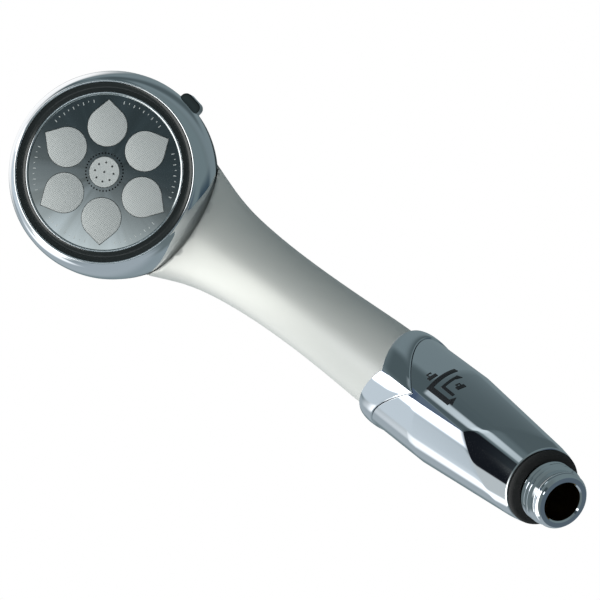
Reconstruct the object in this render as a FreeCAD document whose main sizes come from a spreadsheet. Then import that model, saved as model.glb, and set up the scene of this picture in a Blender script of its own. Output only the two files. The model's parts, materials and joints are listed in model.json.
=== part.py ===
import FreeCAD, Part
import Sketcher
import math
import os
import re

# Handheld shower head.
# Frame: the origin is the centre of the hose nose's sealing face. +Z runs up the straight grip, the spray side is -Y,
# and +X is to the right of someone who looks at the spray face. The handle bends towards -Y above the grip.
# The head's own frame has its origin at the face's centre, +Z out along the spray and +Y up, away from the handle.

SIZES = [
    ("tilt", 45, "bend of the handle, and drop of the spray axis below level, degrees"),
    ("bend_radius", 185, "radius of the handle's centre line"),
    ("bend_start", 120, "height where the centre line starts to bend"),
    ("axis_depth", 25, "handle's centre line behind the face, at the head's axis"),
    ("bore_radius", 6.8, "water bore of the nose"),
    ("nose_rim", 9.1, "outer radius of the sealing face"),
    ("nose_neck", 9.95, "plain nose between the rim and the thread"),
    ("nose_neck_start", 1.3, "height where the rim's chamfer ends"),
    ("thread_radius", 10.4775, "major radius of the G1/2 thread"),
    ("thread_start", 4.8, "height of the thread's first crest"),
    ("thread_end", 10.8, "height of the thread's last crest"),
    ("thread_bevel", 0.4, "lead-in of the thread"),
    ("seat_radius", 9.7, "nose under the shoulder seal"),
    ("shoulder_radius", 13.3, "shoulder seal, outside"),
    ("shoulder_start", 11.2, "shoulder seal, lower face"),
    ("shoulder_bevel", 0.7, "bevel of the shoulder seal"),
    ("grip_start", 13.7, "lower end of the grip shell"),
    ("grip_end_radius", 13.6, "grip shell at its lower end"),
    ("nipple_radius", 11.0, "nipple inside the grip shell"),
    ("nipple_clear", 0.05, "gap round the nipple"),
    ("nipple_stop", 34, "height of the step that stops the nipple's flange"),
    ("flange_height", 3, "nipple flange"),
    ("chamber_radius", 13.0, "bore of the grip shell above the step"),
    ("insert_start", 20, "height of the limiter's seat in the nipple"),
    ("insert_radius", 8.6, "counterbore for limiter and strainer"),
    ("insert_clear", 0.05, "gap round limiter and strainer"),
    ("limiter_height", 4, "flow limiter"),
    ("limiter_hole", 2.6, "radius of the limiter's hole"),
    ("limiter_flare", 1.2, "widening of that hole"),
    ("strainer_height", 5, "inlet strainer"),
    ("strainer_wall", 0.8, "strainer cup wall"),
    ("strainer_hole", 0.9, "radius of a strainer hole"),
    ("strainer_pitch", 2.8, "pitch of the strainer holes"),
    ("cusp_height", 41.5, "height where the grip's cone meets the ridges"),
    ("facet_foot", 13.9, "half width across the facets, at the grip's lower end"),
    ("ridge_foot", 15.4, "ridges, at the grip's lower end"),
    ("taper_end", 70, "height where the facets stop widening"),
    ("grip_radius", 18.2, "half width of the grip across the facets"),
    ("ridge_radius", 19.6, "grip's ridges, front and back"),
    ("seam_front", 73.5, "height of the collar seam on a ridge"),
    ("seam_rise", 28, "rise of the collar seam from ridge to side"),
    ("edge_front", 94.5, "height of the collar's upper edge on a ridge"),
    ("edge_rise", 13.5, "rise of the upper edge from ridge to side"),
    ("collar_proud", 0.6, "collar beyond the grip shell's faces"),
    ("sleeve_radius", 16.0, "bore of the collar"),
    ("sleeve_clear", 0.05, "gap between collar and grip spigot"),
    ("spigot_top", 85.5, "top of the grip shell's spigot"),
    ("handle_start", 88.5, "lower end of the handle"),
    ("handle_foot", 15.7, "handle radius inside the collar"),
    ("handle_wall", 2.2, "wall of the handle"),
    ("waist_radius", 14.8, "handle at its waist"),
    ("cartridge_radius", 12.5, "end caps of the cartridge"),
    ("cartridge_start", 38, "height of the cartridge's foot cap"),
    ("cap_height", 5, "cartridge end cap"),
    ("cartridge_length", 36.5, "cartridge over its end caps"),
    ("can_radius", 12.2, "cartridge tube, outside"),
    ("can_wall", 1.0, "cartridge tube wall"),
    ("media_gap", 0.1, "gap round the filter media"),
    ("foot_radius", 8.4, "foot spigot of the cartridge"),
    ("foot_length", 6, "foot spigot length"),
    ("core_radius", 4.2, "water way of the cartridge"),
    ("spigot_radius", 5.95, "top spigot of the cartridge"),
    ("spigot_end", 108.9, "height of the top spigot's end"),
    ("plug_start", 75.5, "height of the bayonet plug's flange"),
    ("plug_flange", 3, "bayonet plug flange"),
    ("plug_end", 101.5, "top of the bayonet plug"),
    ("plug_radius", 10.3, "bayonet plug"),
    ("plug_bore", 6.4, "bore of the bayonet plug"),
    ("lug_height", 94.5, "height of the bayonet lugs"),
    ("lug_radius", 1.2, "radius of a lug"),
    ("lug_reach", 12.6, "lug tip from the axis"),
    ("lug_clear", 0.25, "gap round a lug in its slot"),
    ("twist", 60, "turn that frees the bayonet, degrees"),
    ("lift", 6, "rise of the handle over that turn"),
    ("plug_clear", 0.2, "gap between bayonet plug and socket"),
    ("socket_top", 108.5, "top of the bayonet socket"),
    ("plug_ring_height", 99, "height of the plug's seal"),
    ("plug_ring_section", 0.72, "section radius of the plug's seal"),
    ("plug_ring_clear", 0.04, "gap between that seal and the socket"),
    ("plug_groove", 1.3, "depth of that seal's groove"),
    ("plug_groove_room", 0.1, "gap beside that seal in its groove"),
    ("tube_radius", 6.0, "water tube, outside"),
    ("tube_wall", 1.5, "water tube wall"),
    ("tube_collar", 7.5, "water tube's socket, outside"),
    ("tube_start", 102, "lower end of the water tube"),
    ("tube_clear", 0.05, "gap round the water tube and its spigot"),
    ("tube_ring_section", 0.85, "section radius of the water tube's seal"),
    ("tube_ring_back", 1.2, "that seal before the bulkhead, degrees of the bend"),
    ("tube_angle", 30.5, "where the water tube ends along the bend, degrees"),
    ("tube_room", 1.2, "free bend beyond the water tube's end, degrees"),
    ("drop_place", 44.3, "way down from the water tube, from the head's axis"),
    ("drop_start", 18, "start of that way, behind the face"),
    ("way_radius", 2.8, "water way through the neck"),
    ("way_depth", 30, "water way through the neck, behind the face"),
    ("way_end", 24, "inner end of that way from the head's axis"),
    ("key_width", 1.6, "key between cartridge and water tube"),
    ("bulkhead_angle", 27, "where the handle's hollow ends along the bend, degrees"),
    ("lip_radius", 34.5, "bezel at its front"),
    ("lip_height", 0.8, "bezel lip in front of the face"),
    ("lip_width", 2.1, "bezel lip, across"),
    ("bezel_radius", 39.3, "bezel at its rear"),
    ("bezel_shoulder", 37.3, "bezel radius at the shoulder"),
    ("shoulder_depth", 4.5, "depth of that shoulder"),
    ("bezel_depth", 16, "bezel behind the face"),
    ("bezel_bore", 35.0, "bore of the bezel"),
    ("plate_radius", 29.1, "mirror plate"),
    ("plate_depth", 0.2, "plate's face behind the head's datum"),
    ("plate_thick", 1.2, "mirror plate"),
    ("trim_clear", 0.1, "gap between plate, trim ring and bezel lip"),
    ("trim_inner", 0.4, "trim ring's inner edge in front of the face"),
    ("trim_outer", 0.1, "trim ring's outer edge in front of the face"),
    ("trim_depth", 3.0, "trim ring behind the face"),
    ("petal_tip", 27.1, "petal's tip from the axis"),
    ("petal_mid", 17.1, "centre of a petal's round end from the axis"),
    ("petal_half", 7.5, "radius of that round end"),
    ("petal_clear", 0.12, "gap round a petal"),
    ("screen_thick", 1.1, "petal screen"),
    ("mist_hole", 0.3, "radius of a mist hole"),
    ("mist_pitch", 1.75, "pitch of the mist holes"),
    ("mist_margin", 1.0, "plain rim of a petal"),
    ("disc_radius", 5.7, "centre disc"),
    ("disc_thick", 1.2, "centre disc"),
    ("jet_radius", 3.6, "ring of jet holes in the centre disc"),
    ("jet_hole", 0.3, "radius of a jet hole"),
    ("fine_radius", 7.1, "ring of fine holes in the plate"),
    ("fine_hole", 0.22, "radius of a fine hole"),
    ("block_radius", 34.4, "spray manifold"),
    ("block_front", 1.5, "spray manifold's front, behind the face"),
    ("block_rear", 8, "spray manifold's rear, behind the face"),
    ("channel_floor", 4.6, "channel floor, behind the face"),
    ("petal_channel", 27.8, "outer wall of the petals' channel"),
    ("petal_wall", 9.0, "inner wall of the petals' channel"),
    ("fine_channel_out", 7.8, "outer wall of the fine channel"),
    ("fine_channel_in", 6.5, "inner wall of the fine channel"),
    ("jet_channel", 5.1, "wall of the centre channel"),
    ("gasket_thick", 1, "manifold gasket"),
    ("port_plate", 5, "fixed port plate"),
    ("slot_depth", 2.4, "slots in the port plate"),
    ("slot_width", 3.4, "slots in the port plate"),
    ("port_circle", 15, "ports on the diverter"),
    ("port_radius", 2.2, "a diverter port"),
    ("step_angle", 22, "selector step, degrees"),
    ("petal_port", 18, "port of the petals' channel from the axis"),
    ("fine_port", 0.6, "radius of the fine channel's port"),
    ("running_gap", 0.3, "gap in front of and behind the turning ring"),
    ("disc_gap", 0.2, "gap in front of and behind the diverter disc"),
    ("diverter_radius", 22, "diverter disc"),
    ("diverter_thick", 4, "diverter disc"),
    ("diverter_key", 2.4, "diverter's keys, beyond its rim"),
    ("post_radius", 5, "centre post"),
    ("post_seat", 2, "centre post inside the valve seat"),
    ("screw_way", 1.7, "radius of the centre screw's way"),
    ("centre_screw_radius", 1.6, "centre screw"),
    ("centre_head", 3, "radius of the centre screw's head"),
    ("centre_head_thick", 1.8, "centre screw's head"),
    ("centre_thread", 1.4, "length of the centre screw in the port plate"),
    ("post_clear", 0.05, "running gap round the centre post"),
    ("ring_front", 16.3, "selector ring's front, behind the face"),
    ("ring_rear", 24.6, "selector ring's rear, behind the face"),
    ("ring_radius", 38.9, "selector ring"),
    ("ring_rear_radius", 38.0, "selector ring at its rear"),
    ("ring_taper", 22.5, "depth where the ring starts to taper"),
    ("ring_hub", 33.8, "selector ring inside the bezel"),
    ("ring_clear", 0.1, "gap between ring and diverter disc"),
    ("lever_tip", 42, "lever's tip from the axis"),
    ("lever_width", 9, "lever"),
    ("lever_thick", 6.2, "lever, along the axis"),
    ("lever_angle", -13.5, "lever at rest, degrees"),
    ("seat_front", 18.4, "valve seat's front, behind the face"),
    ("seat_rear", 27, "valve seat's rear, behind the face"),
    ("seat_radius_head", 21.5, "valve seat"),
    ("seat_flange", 24.6, "valve seat's flange"),
    ("seat_flange_thick", 2, "valve seat's flange"),
    ("seal_circle", 18.6, "diverter seal"),
    ("seal_section", 0.9, "section radius of the diverter seal"),
    ("seal_groove", 1.75, "depth of the diverter seal's groove"),
    ("seat_screw_circle", 23.1, "seat screws from the axis"),
    ("seat_screw", 1.0, "radius of a seat screw"),
    ("pilot_radius", 1.02, "radius of a seat screw's hole in the chassis"),
    ("seat_thread", 1.4, "length of a seat screw in the chassis"),
    ("seat_screw_head", 1.9, "radius of a seat screw's head"),
    ("seat_head_thick", 1.3, "seat screw's head"),
    ("chassis_front", 24.9, "head chassis, behind the face"),
    ("chassis_radius", 34.6, "head chassis and back cover"),
    ("cover_depth", 39.5, "back cover's crown, behind the face"),
    ("cover_edge", 27, "back cover's edge, behind the face"),
    ("cover_wall", 2, "back cover wall"),
    ("neck_gap", 0.4, "gap between handle, bezel and selector ring"),
    ("ball_radius", 1.0, "detent ball"),
    ("ball_circle", 27.8, "detent ball from the axis"),
    ("spring_length", 1.0, "detent spring, pressed"),
    ("screw_radius", 1.25, "face screws"),
    ("screw_head", 2.2, "face screw heads"),
    ("screw_circle", 31.4, "face screws"),
]

PETALS = 6
FINE_HOLES = 36
JET_HOLES = 8
FACE_SCREWS = 6
SEAT_SCREWS = 4
SLOT_STEPS = 12

doc = FreeCAD.newDocument("ShowerHead")
sheet = doc.addObject("Spreadsheet::Sheet", "Sizes")
for row, (alias, value, meaning) in enumerate(SIZES, start=1):
    sheet.set(f"A{row}", alias)
    sheet.set(f"B{row}", str(value))
    sheet.set(f"C{row}", meaning)
    sheet.setAlias(f"B{row}", alias)
doc.recompute()
NAMES = [alias for alias, _, _ in SIZES]
WORDS = re.compile(r"\b(" + "|".join(sorted(NAMES, key=len, reverse=True)) + r")\b")
PIECES = {}


def bound(text):
    """The expression with each size's name pointing at the sheet."""
    return WORDS.sub(r"Sizes.\1", str(text))


def number(text):
    """The value that an expression has now."""
    value = doc.Sizes.evalExpression(WORDS.sub(r"\1", str(text)))
    return float(getattr(value, "Value", value))


def place(item, x="0", y="0", z="0"):
    """Bind an object's position to expressions."""
    for axis, text in (("x", x), ("y", y), ("z", z)):
        item.setExpression(f"Placement.Base.{axis}", bound(text))
    return item


def rod(name, radius, height, x="0", y="0", z="0"):
    """A cylinder along +Z."""
    item = doc.addObject("Part::Cylinder", name)
    item.setExpression("Radius", bound(radius))
    item.setExpression("Height", bound(height))
    return place(item, x, y, z)


def block(name, length, width, height, x="0", y="0", z="0"):
    """A box, centred on Y."""
    item = doc.addObject("Part::Box", name)
    item.setExpression("Length", bound(length))
    item.setExpression("Width", bound(width))
    item.setExpression("Height", bound(height))
    return place(item, x, f"({y}) - ({width}) / 2", z)


def ring(name, circle, section, z):
    """A round-section ring about Z."""
    item = doc.addObject("Part::Torus", name)
    item.setExpression("Radius1", bound(circle))
    item.setExpression("Radius2", bound(section))
    return place(item, z=z)


def turned(name, outline):
    """A body turned about Z from a closed outline of (radius, height) expressions."""
    body = doc.addObject("PartDesign::Body", name)
    sketch = body.newObject("Sketcher::SketchObject", name + "_outline")
    plane = [item for item in body.Origin.OriginFeatures if item.Role == "XZ_Plane"][0]
    sketch.AttachmentSupport = [(plane, "")]
    sketch.MapMode = "FlatFace"
    spots = [FreeCAD.Vector(number(radius), number(height), 0) for radius, height in outline]
    for index, spot in enumerate(spots):
        sketch.addGeometry(Part.LineSegment(spot, spots[(index + 1) % len(spots)]))
    for index, (radius, height) in enumerate(outline):
        sketch.addConstraint(Sketcher.Constraint("Coincident", index - 1 if index else len(outline) - 1, 2, index, 1))
        if number(radius) == 0:
            sketch.addConstraint(Sketcher.Constraint("PointOnObject", index, 1, -2))
        else:
            across = sketch.addConstraint(Sketcher.Constraint("DistanceX", -1, 1, index, 1, spots[index].x))
            sketch.setExpression(f"Constraints[{across}]", bound(radius))
        up = sketch.addConstraint(Sketcher.Constraint("DistanceY", -1, 1, index, 1, spots[index].y))
        sketch.setExpression(f"Constraints[{up}]", bound(height))
    turn = body.newObject("PartDesign::Revolution", name + "_turn")
    turn.Profile = sketch
    turn.ReferenceAxis = (sketch, ["V_Axis"])
    turn.Angle = 360
    body.Tip = turn
    return body


def joined(name, shapes):
    """Several shapes as one."""
    item = doc.addObject("Part::MultiFuse", name)
    item.Shapes = shapes
    return item


def shared(name, shapes):
    """What several shapes have in common."""
    item = doc.addObject("Part::MultiCommon", name)
    item.Shapes = shapes
    return item


def less(name, base, tools):
    """A shape without the tools."""
    item = doc.addObject("Part::Cut", name)
    item.Base = base
    item.Tool = tools[0] if len(tools) == 1 else joined(name + "_tools", tools)
    return item


def about_z(item, angle):
    """Turn an object about the Z axis of its frame, after its own position."""
    doc.recompute()
    spin = FreeCAD.Placement(FreeCAD.Vector(), FreeCAD.Rotation(FreeCAD.Vector(0, 0, 1), angle))
    for axis in "xyz":
        item.setExpression(f"Placement.Base.{axis}", None)
    item.Placement = spin.multiply(item.Placement)
    return item


def polar(name, radius, height, circle, angle, z):
    """A cylinder along +Z on a circle, at an angle given as an expression."""
    return rod(name, radius, height, f"({circle}) * cos(({angle}) * 1 deg)",
               f"({circle}) * sin(({angle}) * 1 deg)", z)


def piece(label, item):
    """Keep an object as a piece of the part, in the part's frame."""
    item.Label = label
    PIECES[label] = item
    return item


def in_head(item):
    """Move an object that is drawn in the head's frame into the part's frame."""
    doc.recompute()
    for axis in "xyz":
        item.setExpression(f"Placement.Base.{axis}", None)
    spin = FreeCAD.Rotation(FreeCAD.Vector(1, 0, 0), 90 + number("tilt"))
    item.Placement = FreeCAD.Placement(face_centre(), spin).multiply(item.Placement)
    return item


def head_piece(label, item):
    """Keep an object that is drawn in the head's frame."""
    return piece(label, in_head(item))


def bend_point(angle):
    """A point of the handle's centre line, by the angle turned since the bend's start."""
    turn = math.radians(angle)
    radius = number("bend_radius")
    return FreeCAD.Vector(0, -radius * (1 - math.cos(turn)), number("bend_start") + radius * math.sin(turn))


def face_centre():
    """The centre of the spray face."""
    tilt = math.radians(number("tilt"))
    spray = FreeCAD.Vector(0, -math.cos(tilt), -math.sin(tilt))
    return bend_point(number("tilt")) + spray * number("axis_depth")


def section(name, angle, half_width, half_depth):
    """An ellipse across the handle's centre line."""
    item = doc.addObject("Part::Ellipse", name)
    item.setExpression("MajorRadius", bound(half_width))
    item.setExpression("MinorRadius", bound(half_depth))
    item.Placement = FreeCAD.Placement(bend_point(angle), FreeCAD.Rotation(FreeCAD.Vector(1, 0, 0), angle))
    return item


def skin(name, sections):
    """A smooth solid through sections."""
    item = doc.addObject("Part::Loft", name)
    item.Sections = sections
    item.Solid = True
    item.Ruled = False
    return item


# Grip -------------------------------------------------------------------------------------------------------------

def inlet_nipple():
    """The threaded nose with the water bore, stopped by its flange inside the grip."""
    top = "nipple_stop + flange_height"
    return turned("nipple", [
        ("bore_radius", "0"), ("nose_rim", "0"), ("nose_neck", "nose_neck_start"),
        ("nose_neck", "thread_start - thread_bevel"), ("thread_radius", "thread_start"), ("thread_radius", "thread_end"),
        ("seat_radius", "thread_end + thread_bevel / 2"), ("seat_radius", "grip_start"), ("nipple_radius", "grip_start"),
        ("nipple_radius", "nipple_stop"), ("chamber_radius - nipple_clear", "nipple_stop"),
        ("chamber_radius - nipple_clear", top), ("insert_radius", top), ("insert_radius", "insert_start"),
        ("bore_radius", "insert_start")])


def shoulder_ring():
    """The black seal between the nose and the grip."""
    inner = "seat_radius + nipple_clear"
    mid = "(shoulder_start + grip_start) / 2"
    return turned("shoulder", [
        (inner, "shoulder_start"), ("shoulder_radius - shoulder_bevel", "shoulder_start"),
        ("shoulder_radius", mid), ("shoulder_radius", "grip_start"), (inner, "grip_start")])


def flow_limiter():
    """The washer that limits the flow."""
    rim = "insert_radius - insert_clear"
    top = "insert_start + limiter_height"
    return turned("limiter", [("limiter_hole", "insert_start"), (rim, "insert_start"), (rim, top),
                              ("limiter_hole + limiter_flare", top)])


def inlet_strainer():
    """A cup with holes, above the limiter."""
    rim = "insert_radius - insert_clear"
    low = "insert_start + limiter_height"
    cup = turned("strainer", [
        ("0", low), (rim, low), (rim, f"{low} + strainer_height"),
        (f"{rim} - strainer_wall", f"{low} + strainer_height"),
        (f"{rim} - strainer_wall", f"{low} + strainer_wall"), ("0", f"{low} + strainer_wall")])
    holes = [rod("strain_0", "strainer_hole", "strainer_wall + 2", z=f"{low} - 1")]
    for lap in (1, 2):
        for index in range(6 * lap):
            holes.append(polar(f"strain_{lap}_{index}", "strainer_hole", "strainer_wall + 2",
                               f"{lap} * strainer_pitch", 60 * index / lap, f"{low} - 1"))
    return less("strainer_cup", cup, holes)


def pointed_round(name, half_width, ridge, low, high):
    """A prism with a ridge at the front and the back: two large rounds that meet."""
    large = f"((({half_width}) * ({half_width}) + ({ridge}) * ({ridge})) / (2 * ({half_width})))"
    height = f"({high}) - ({low})"
    left = rod(name + "_left", large, height, f"{large} - ({half_width})", "0", low)
    right = rod(name + "_right", large, height, f"({half_width}) - {large}", "0", low)
    return shared(name, [left, right])


def below_seam(name, front, rise, low):
    """What lies below a seam that rises from the front and back ridges to both sides."""
    span = number("ridge_radius") + 4
    slope = number(rise) / number("grip_radius")
    base = number(low)
    valley = number(front)
    spots = [FreeCAD.Vector(x, -span, z) for x, z in (
        (-span, base), (span, base), (span, valley + slope * span), (0, valley), (-span, valley + slope * span))]
    item = doc.addObject("Part::Feature", name)
    item.Shape = Part.Face(Part.makePolygon(spots + spots[:1])).extrude(FreeCAD.Vector(0, 2 * span, 0))
    return item


def lens(name, half_width, ridge, height):
    """The outline of the grip at a height: two rounds that meet in front and behind."""
    half, reach, level = number(half_width), number(ridge), number(height)
    front, back = FreeCAD.Vector(0, -reach, level), FreeCAD.Vector(0, reach, level)
    right = Part.Arc(front, FreeCAD.Vector(half, 0, level), back)
    left = Part.Arc(back, FreeCAD.Vector(-half, 0, level), front)
    item = doc.addObject("Part::Feature", name)
    item.Shape = Part.Wire([right.toShape(), left.toShape()])
    return item


def facets(name):
    """The faceted form of the grip: it widens up to the taper's end and then stays."""
    lower = skin(name + "_lower", [lens(name + "_foot", "facet_foot", "ridge_foot", "grip_start"),
                                   lens(name + "_full", "grip_radius", "ridge_radius", "taper_end")])
    lower.Ruled = True
    upper = pointed_round(name + "_upper", "grip_radius", "ridge_radius", "taper_end", "edge_front + edge_rise + 10")
    return joined(name, [lower, upper])


def grip_cone(name):
    """The round cone that sharpens the facets towards the nose, wide open above them."""
    share = "((cusp_height - grip_start) / (taper_end - grip_start))"
    rise = f"(ridge_foot + (ridge_radius - ridge_foot) * {share} - grip_end_radius)"
    far = "(ridge_radius + 4)"
    return turned(name, [
        ("0", "grip_start"), ("grip_end_radius - 0.5", "grip_start"), ("grip_end_radius", "grip_start + 0.5"),
        (far, f"grip_start + ({far} - grip_end_radius) * (cusp_height - grip_start) / {rise}"),
        (far, "edge_front + edge_rise + 20"), ("0", "edge_front + edge_rise + 20")])


def grip_shell():
    """The faceted lower shell with a round spigot for the collar."""
    outside = shared("grip_outside", [facets("grip_facets"), grip_cone("grip_cone"),
                                      below_seam("grip_seam", "seam_front", "seam_rise", "0")])
    above = rod("grip_above", "sleeve_radius", "60", z="spigot_top")
    spigot = rod("grip_spigot", "sleeve_radius - sleeve_clear", "spigot_top - seam_front + 6", z="seam_front - 6")
    shape = joined("grip_joined", [less("grip_outer", outside, [above]), spigot])
    bores = [rod("grip_bore_low", "nipple_radius + nipple_clear", "nipple_stop", z="0"),
             rod("grip_bore", "chamber_radius", "100", z="nipple_stop")]
    return less("grip", shape, bores)


def collar():
    """The flared collar over the joint, with a front and back notch in both its edges."""
    prism = pointed_round("collar_prism", "grip_radius + collar_proud", "ridge_radius + collar_proud",
                          "seam_front - 5", "edge_front + edge_rise + 5")
    top = below_seam("collar_top", "edge_front", "edge_rise", "0")
    low = below_seam("collar_low", "seam_front", "seam_rise", "0")
    shape = shared("collar_shape", [prism, top])
    return less("collar_ring", shape, [low, rod("collar_bore", "sleeve_radius", "90", z="seam_front - 10")])


def bayonet_plug():
    """The tube with two lugs that the handle's socket turns on to."""
    half = "(plug_ring_section + plug_groove_room)"
    floor = "plug_radius - plug_groove"
    tube = turned("plug_tube", [
        ("plug_bore", "plug_start"), ("chamber_radius - nipple_clear", "plug_start"),
        ("chamber_radius - nipple_clear", "plug_start + plug_flange"), ("plug_radius", "plug_start + plug_flange"),
        ("plug_radius", f"plug_ring_height - {half}"), (floor, f"plug_ring_height - {half}"),
        (floor, f"plug_ring_height + {half}"), ("plug_radius", f"plug_ring_height + {half}"),
        ("plug_radius", "plug_end"), ("plug_bore", "plug_end")])
    lugs = rod("lugs", "lug_radius", "2 * lug_reach")
    lugs.Placement.Rotation = FreeCAD.Rotation(FreeCAD.Vector(0, 1, 0), 90)
    place(lugs, "-lug_reach", "0", "lug_height")
    whole = joined("plug_whole", [tube, lugs])
    return less("plug", whole, [rod("plug_way", "plug_bore", "60", z="plug_start - 1")])


def plug_o_ring():
    """The seal at the top of the bayonet plug."""
    return ring("plug_ring", "plug_radius + plug_clear - plug_ring_clear - plug_ring_section", "plug_ring_section",
                "plug_ring_height")


# Cartridge --------------------------------------------------------------------------------------------------------

def cartridge_foot_cap():
    """The lower cap, with a spigot in the nipple."""
    low = "cartridge_start"
    return turned("foot_cap", [
        ("core_radius", f"{low} - foot_length"), ("foot_radius", f"{low} - foot_length"), ("foot_radius", low),
        ("cartridge_radius", low), ("cartridge_radius", f"{low} + cap_height"),
        ("core_radius", f"{low} + cap_height")])


def cartridge_tube():
    """The can between the caps."""
    low = "cartridge_start + cap_height"
    high = "cartridge_start + cartridge_length - cap_height"
    return turned("can", [("can_radius - can_wall", low), ("can_radius", low), ("can_radius", high),
                          ("can_radius - can_wall", high)])


def filter_media():
    """The filter block, with a core for the water."""
    low = "cartridge_start + cap_height + media_gap"
    high = "cartridge_start + cartridge_length - cap_height - media_gap"
    rim = "can_radius - can_wall - media_gap"
    return turned("media", [("core_radius", low), (rim, low), (rim, high), ("core_radius", high)])


def cartridge_top_cap():
    """The upper cap, whose keyed spigot enters the water tube."""
    low = "cartridge_start + cartridge_length - cap_height"
    high = "cartridge_start + cartridge_length"
    cap = turned("top_cap_round", [
        ("core_radius", low), ("cartridge_radius", low), ("cartridge_radius", high), ("spigot_radius", high),
        ("spigot_radius", "spigot_end"), ("core_radius", "spigot_end")])
    key = block("top_key", "1.3", "key_width", "spigot_end - tube_start - 0.3", "spigot_radius - 0.8", "0",
                "tube_start + 0.3")
    return joined("top_cap", [cap, key])


# Handle -----------------------------------------------------------------------------------------------------------

def bayonet_socket():
    """The ring in the handle's foot, with two rising slots for the lugs."""
    rim = "handle_foot - handle_wall - sleeve_clear"
    way = "plug_radius + plug_clear"
    shape = turned("socket_round", [
        (way, "handle_start"), (rim, "handle_start"), (rim, "socket_top"), ("tube_collar + tube_clear", "socket_top"),
        ("tube_collar + tube_clear", "plug_end + 0.4"), (way, "plug_end + 0.4")])
    slots = []
    for side in (0, 180):
        for step in range(SLOT_STEPS + 1):
            share = step / SLOT_STEPS
            angle = f"{side} - twist * {share}"
            cutter = polar(f"slot_{side}_{step}", "lug_radius + lug_clear", "handle_foot - spigot_radius",
                           "spigot_radius", angle, f"lug_height - lift * {share}")
            cutter.Placement.Rotation = FreeCAD.Rotation(FreeCAD.Vector(0, 0, 1), side - number("twist") * share) \
                * FreeCAD.Rotation(FreeCAD.Vector(0, 1, 0), 90)
            slots.append(cutter)
    return less("socket", shape, slots)


def water_tube():
    """The tube from the cartridge to the head, with its keyed socket."""
    bore = "spigot_radius + tube_clear"
    start = "bend_start"
    socket = turned("tube_socket", [
        (bore, "tube_start"), ("tube_collar", "tube_start"), ("tube_collar", start),
        ("tube_radius - tube_wall", start), ("tube_radius - tube_wall", "spigot_end + 0.6"),
        (bore, "spigot_end + 0.6")])
    keyway = block("keyway", "1.7", "key_width + 0.2", "spigot_end - tube_start + 1.6", "spigot_radius - 0.5", "0",
                   "tube_start - 1")
    run = less("tube_run", bent_rod("tube_out", "tube_radius", number("tube_angle")),
               [bent_rod("tube_in", "tube_radius - tube_wall", number("tube_angle"))])
    return joined("tube", [less("tube_keyed", socket, [keyway]), run])


def bent_rod(name, radius, angle, start=0):
    """A round rod along the handle's bend."""
    spine = doc.addObject("Part::Feature", name + "_line")
    arc = Part.Arc(bend_point(start), bend_point((start + angle) / 2), bend_point(angle))
    spine.Shape = Part.Wire([arc.toShape()])
    item = doc.addObject("Part::Sweep", name)
    item.Sections = [section(name + "_section", start, radius, radius)]
    item.Spine = (spine, ["Edge1"])
    item.Solid = True
    item.Frenet = False
    return item


# The handle's sections: degrees of the bend, half width, half depth.
NECK = (
    (0, "handle_foot", "handle_foot"),
    (4, "0.984 * handle_foot", "0.984 * handle_foot"),
    (12, "1.007 * waist_radius", "1.007 * waist_radius"),
    (20, "1.02 * waist_radius", "waist_radius"),
    (27, "1.135 * waist_radius", "1.041 * waist_radius"),
    (32, "1.378 * waist_radius", "1.047 * waist_radius"),
    (36.5, "1.743 * waist_radius", "waist_radius"),
    (41, "2.014 * waist_radius", "0.932 * waist_radius"),
    (45, "2.115 * waist_radius", "0.865 * waist_radius"),
)


def neck_outside(name):
    """The outer form of the bent handle and its neck."""
    scale = number("tilt") / NECK[-1][0]
    return skin(name, [section(f"{name}_{index}", angle * scale, wide, deep)
                       for index, (angle, wide, deep) in enumerate(NECK)])


def neck_inside(name):
    """The handle's hollow, up to the bulkhead."""
    scale = number("tilt") / NECK[-1][0]
    return skin(name, [section(f"{name}_{index}", angle * scale, f"{wide} - handle_wall", f"{deep} - handle_wall")
                       for index, (angle, wide, deep) in enumerate(NECK)
                       if angle <= number("bulkhead_angle")])


def dome(name, radius, wall):
    """The back's dome, drawn in the head's frame, inset by a wall."""
    rise = "(cover_depth - cover_edge)"
    ball = f"((chassis_radius * chassis_radius + {rise} * {rise}) / (2 * {rise}))"
    sphere = doc.addObject("Part::Sphere", name + "_ball")
    sphere.setExpression("Radius", bound(f"{ball} - ({wall})"))
    place(sphere, z=f"{ball} - cover_depth")
    rim = rod(name + "_rim", radius, "cover_depth - cover_edge + 10", z="-cover_depth - 10")
    return shared(name, [sphere, rim])


def water_way(name):
    """The way along the neck into the chamber, drawn in the head's frame."""
    item = rod(name, "way_radius", "drop_place - way_end")
    item.Placement.Rotation = FreeCAD.Rotation(FreeCAD.Vector(1, 0, 0), -90)
    return place(item, "0", "-drop_place", "-way_depth")


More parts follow.
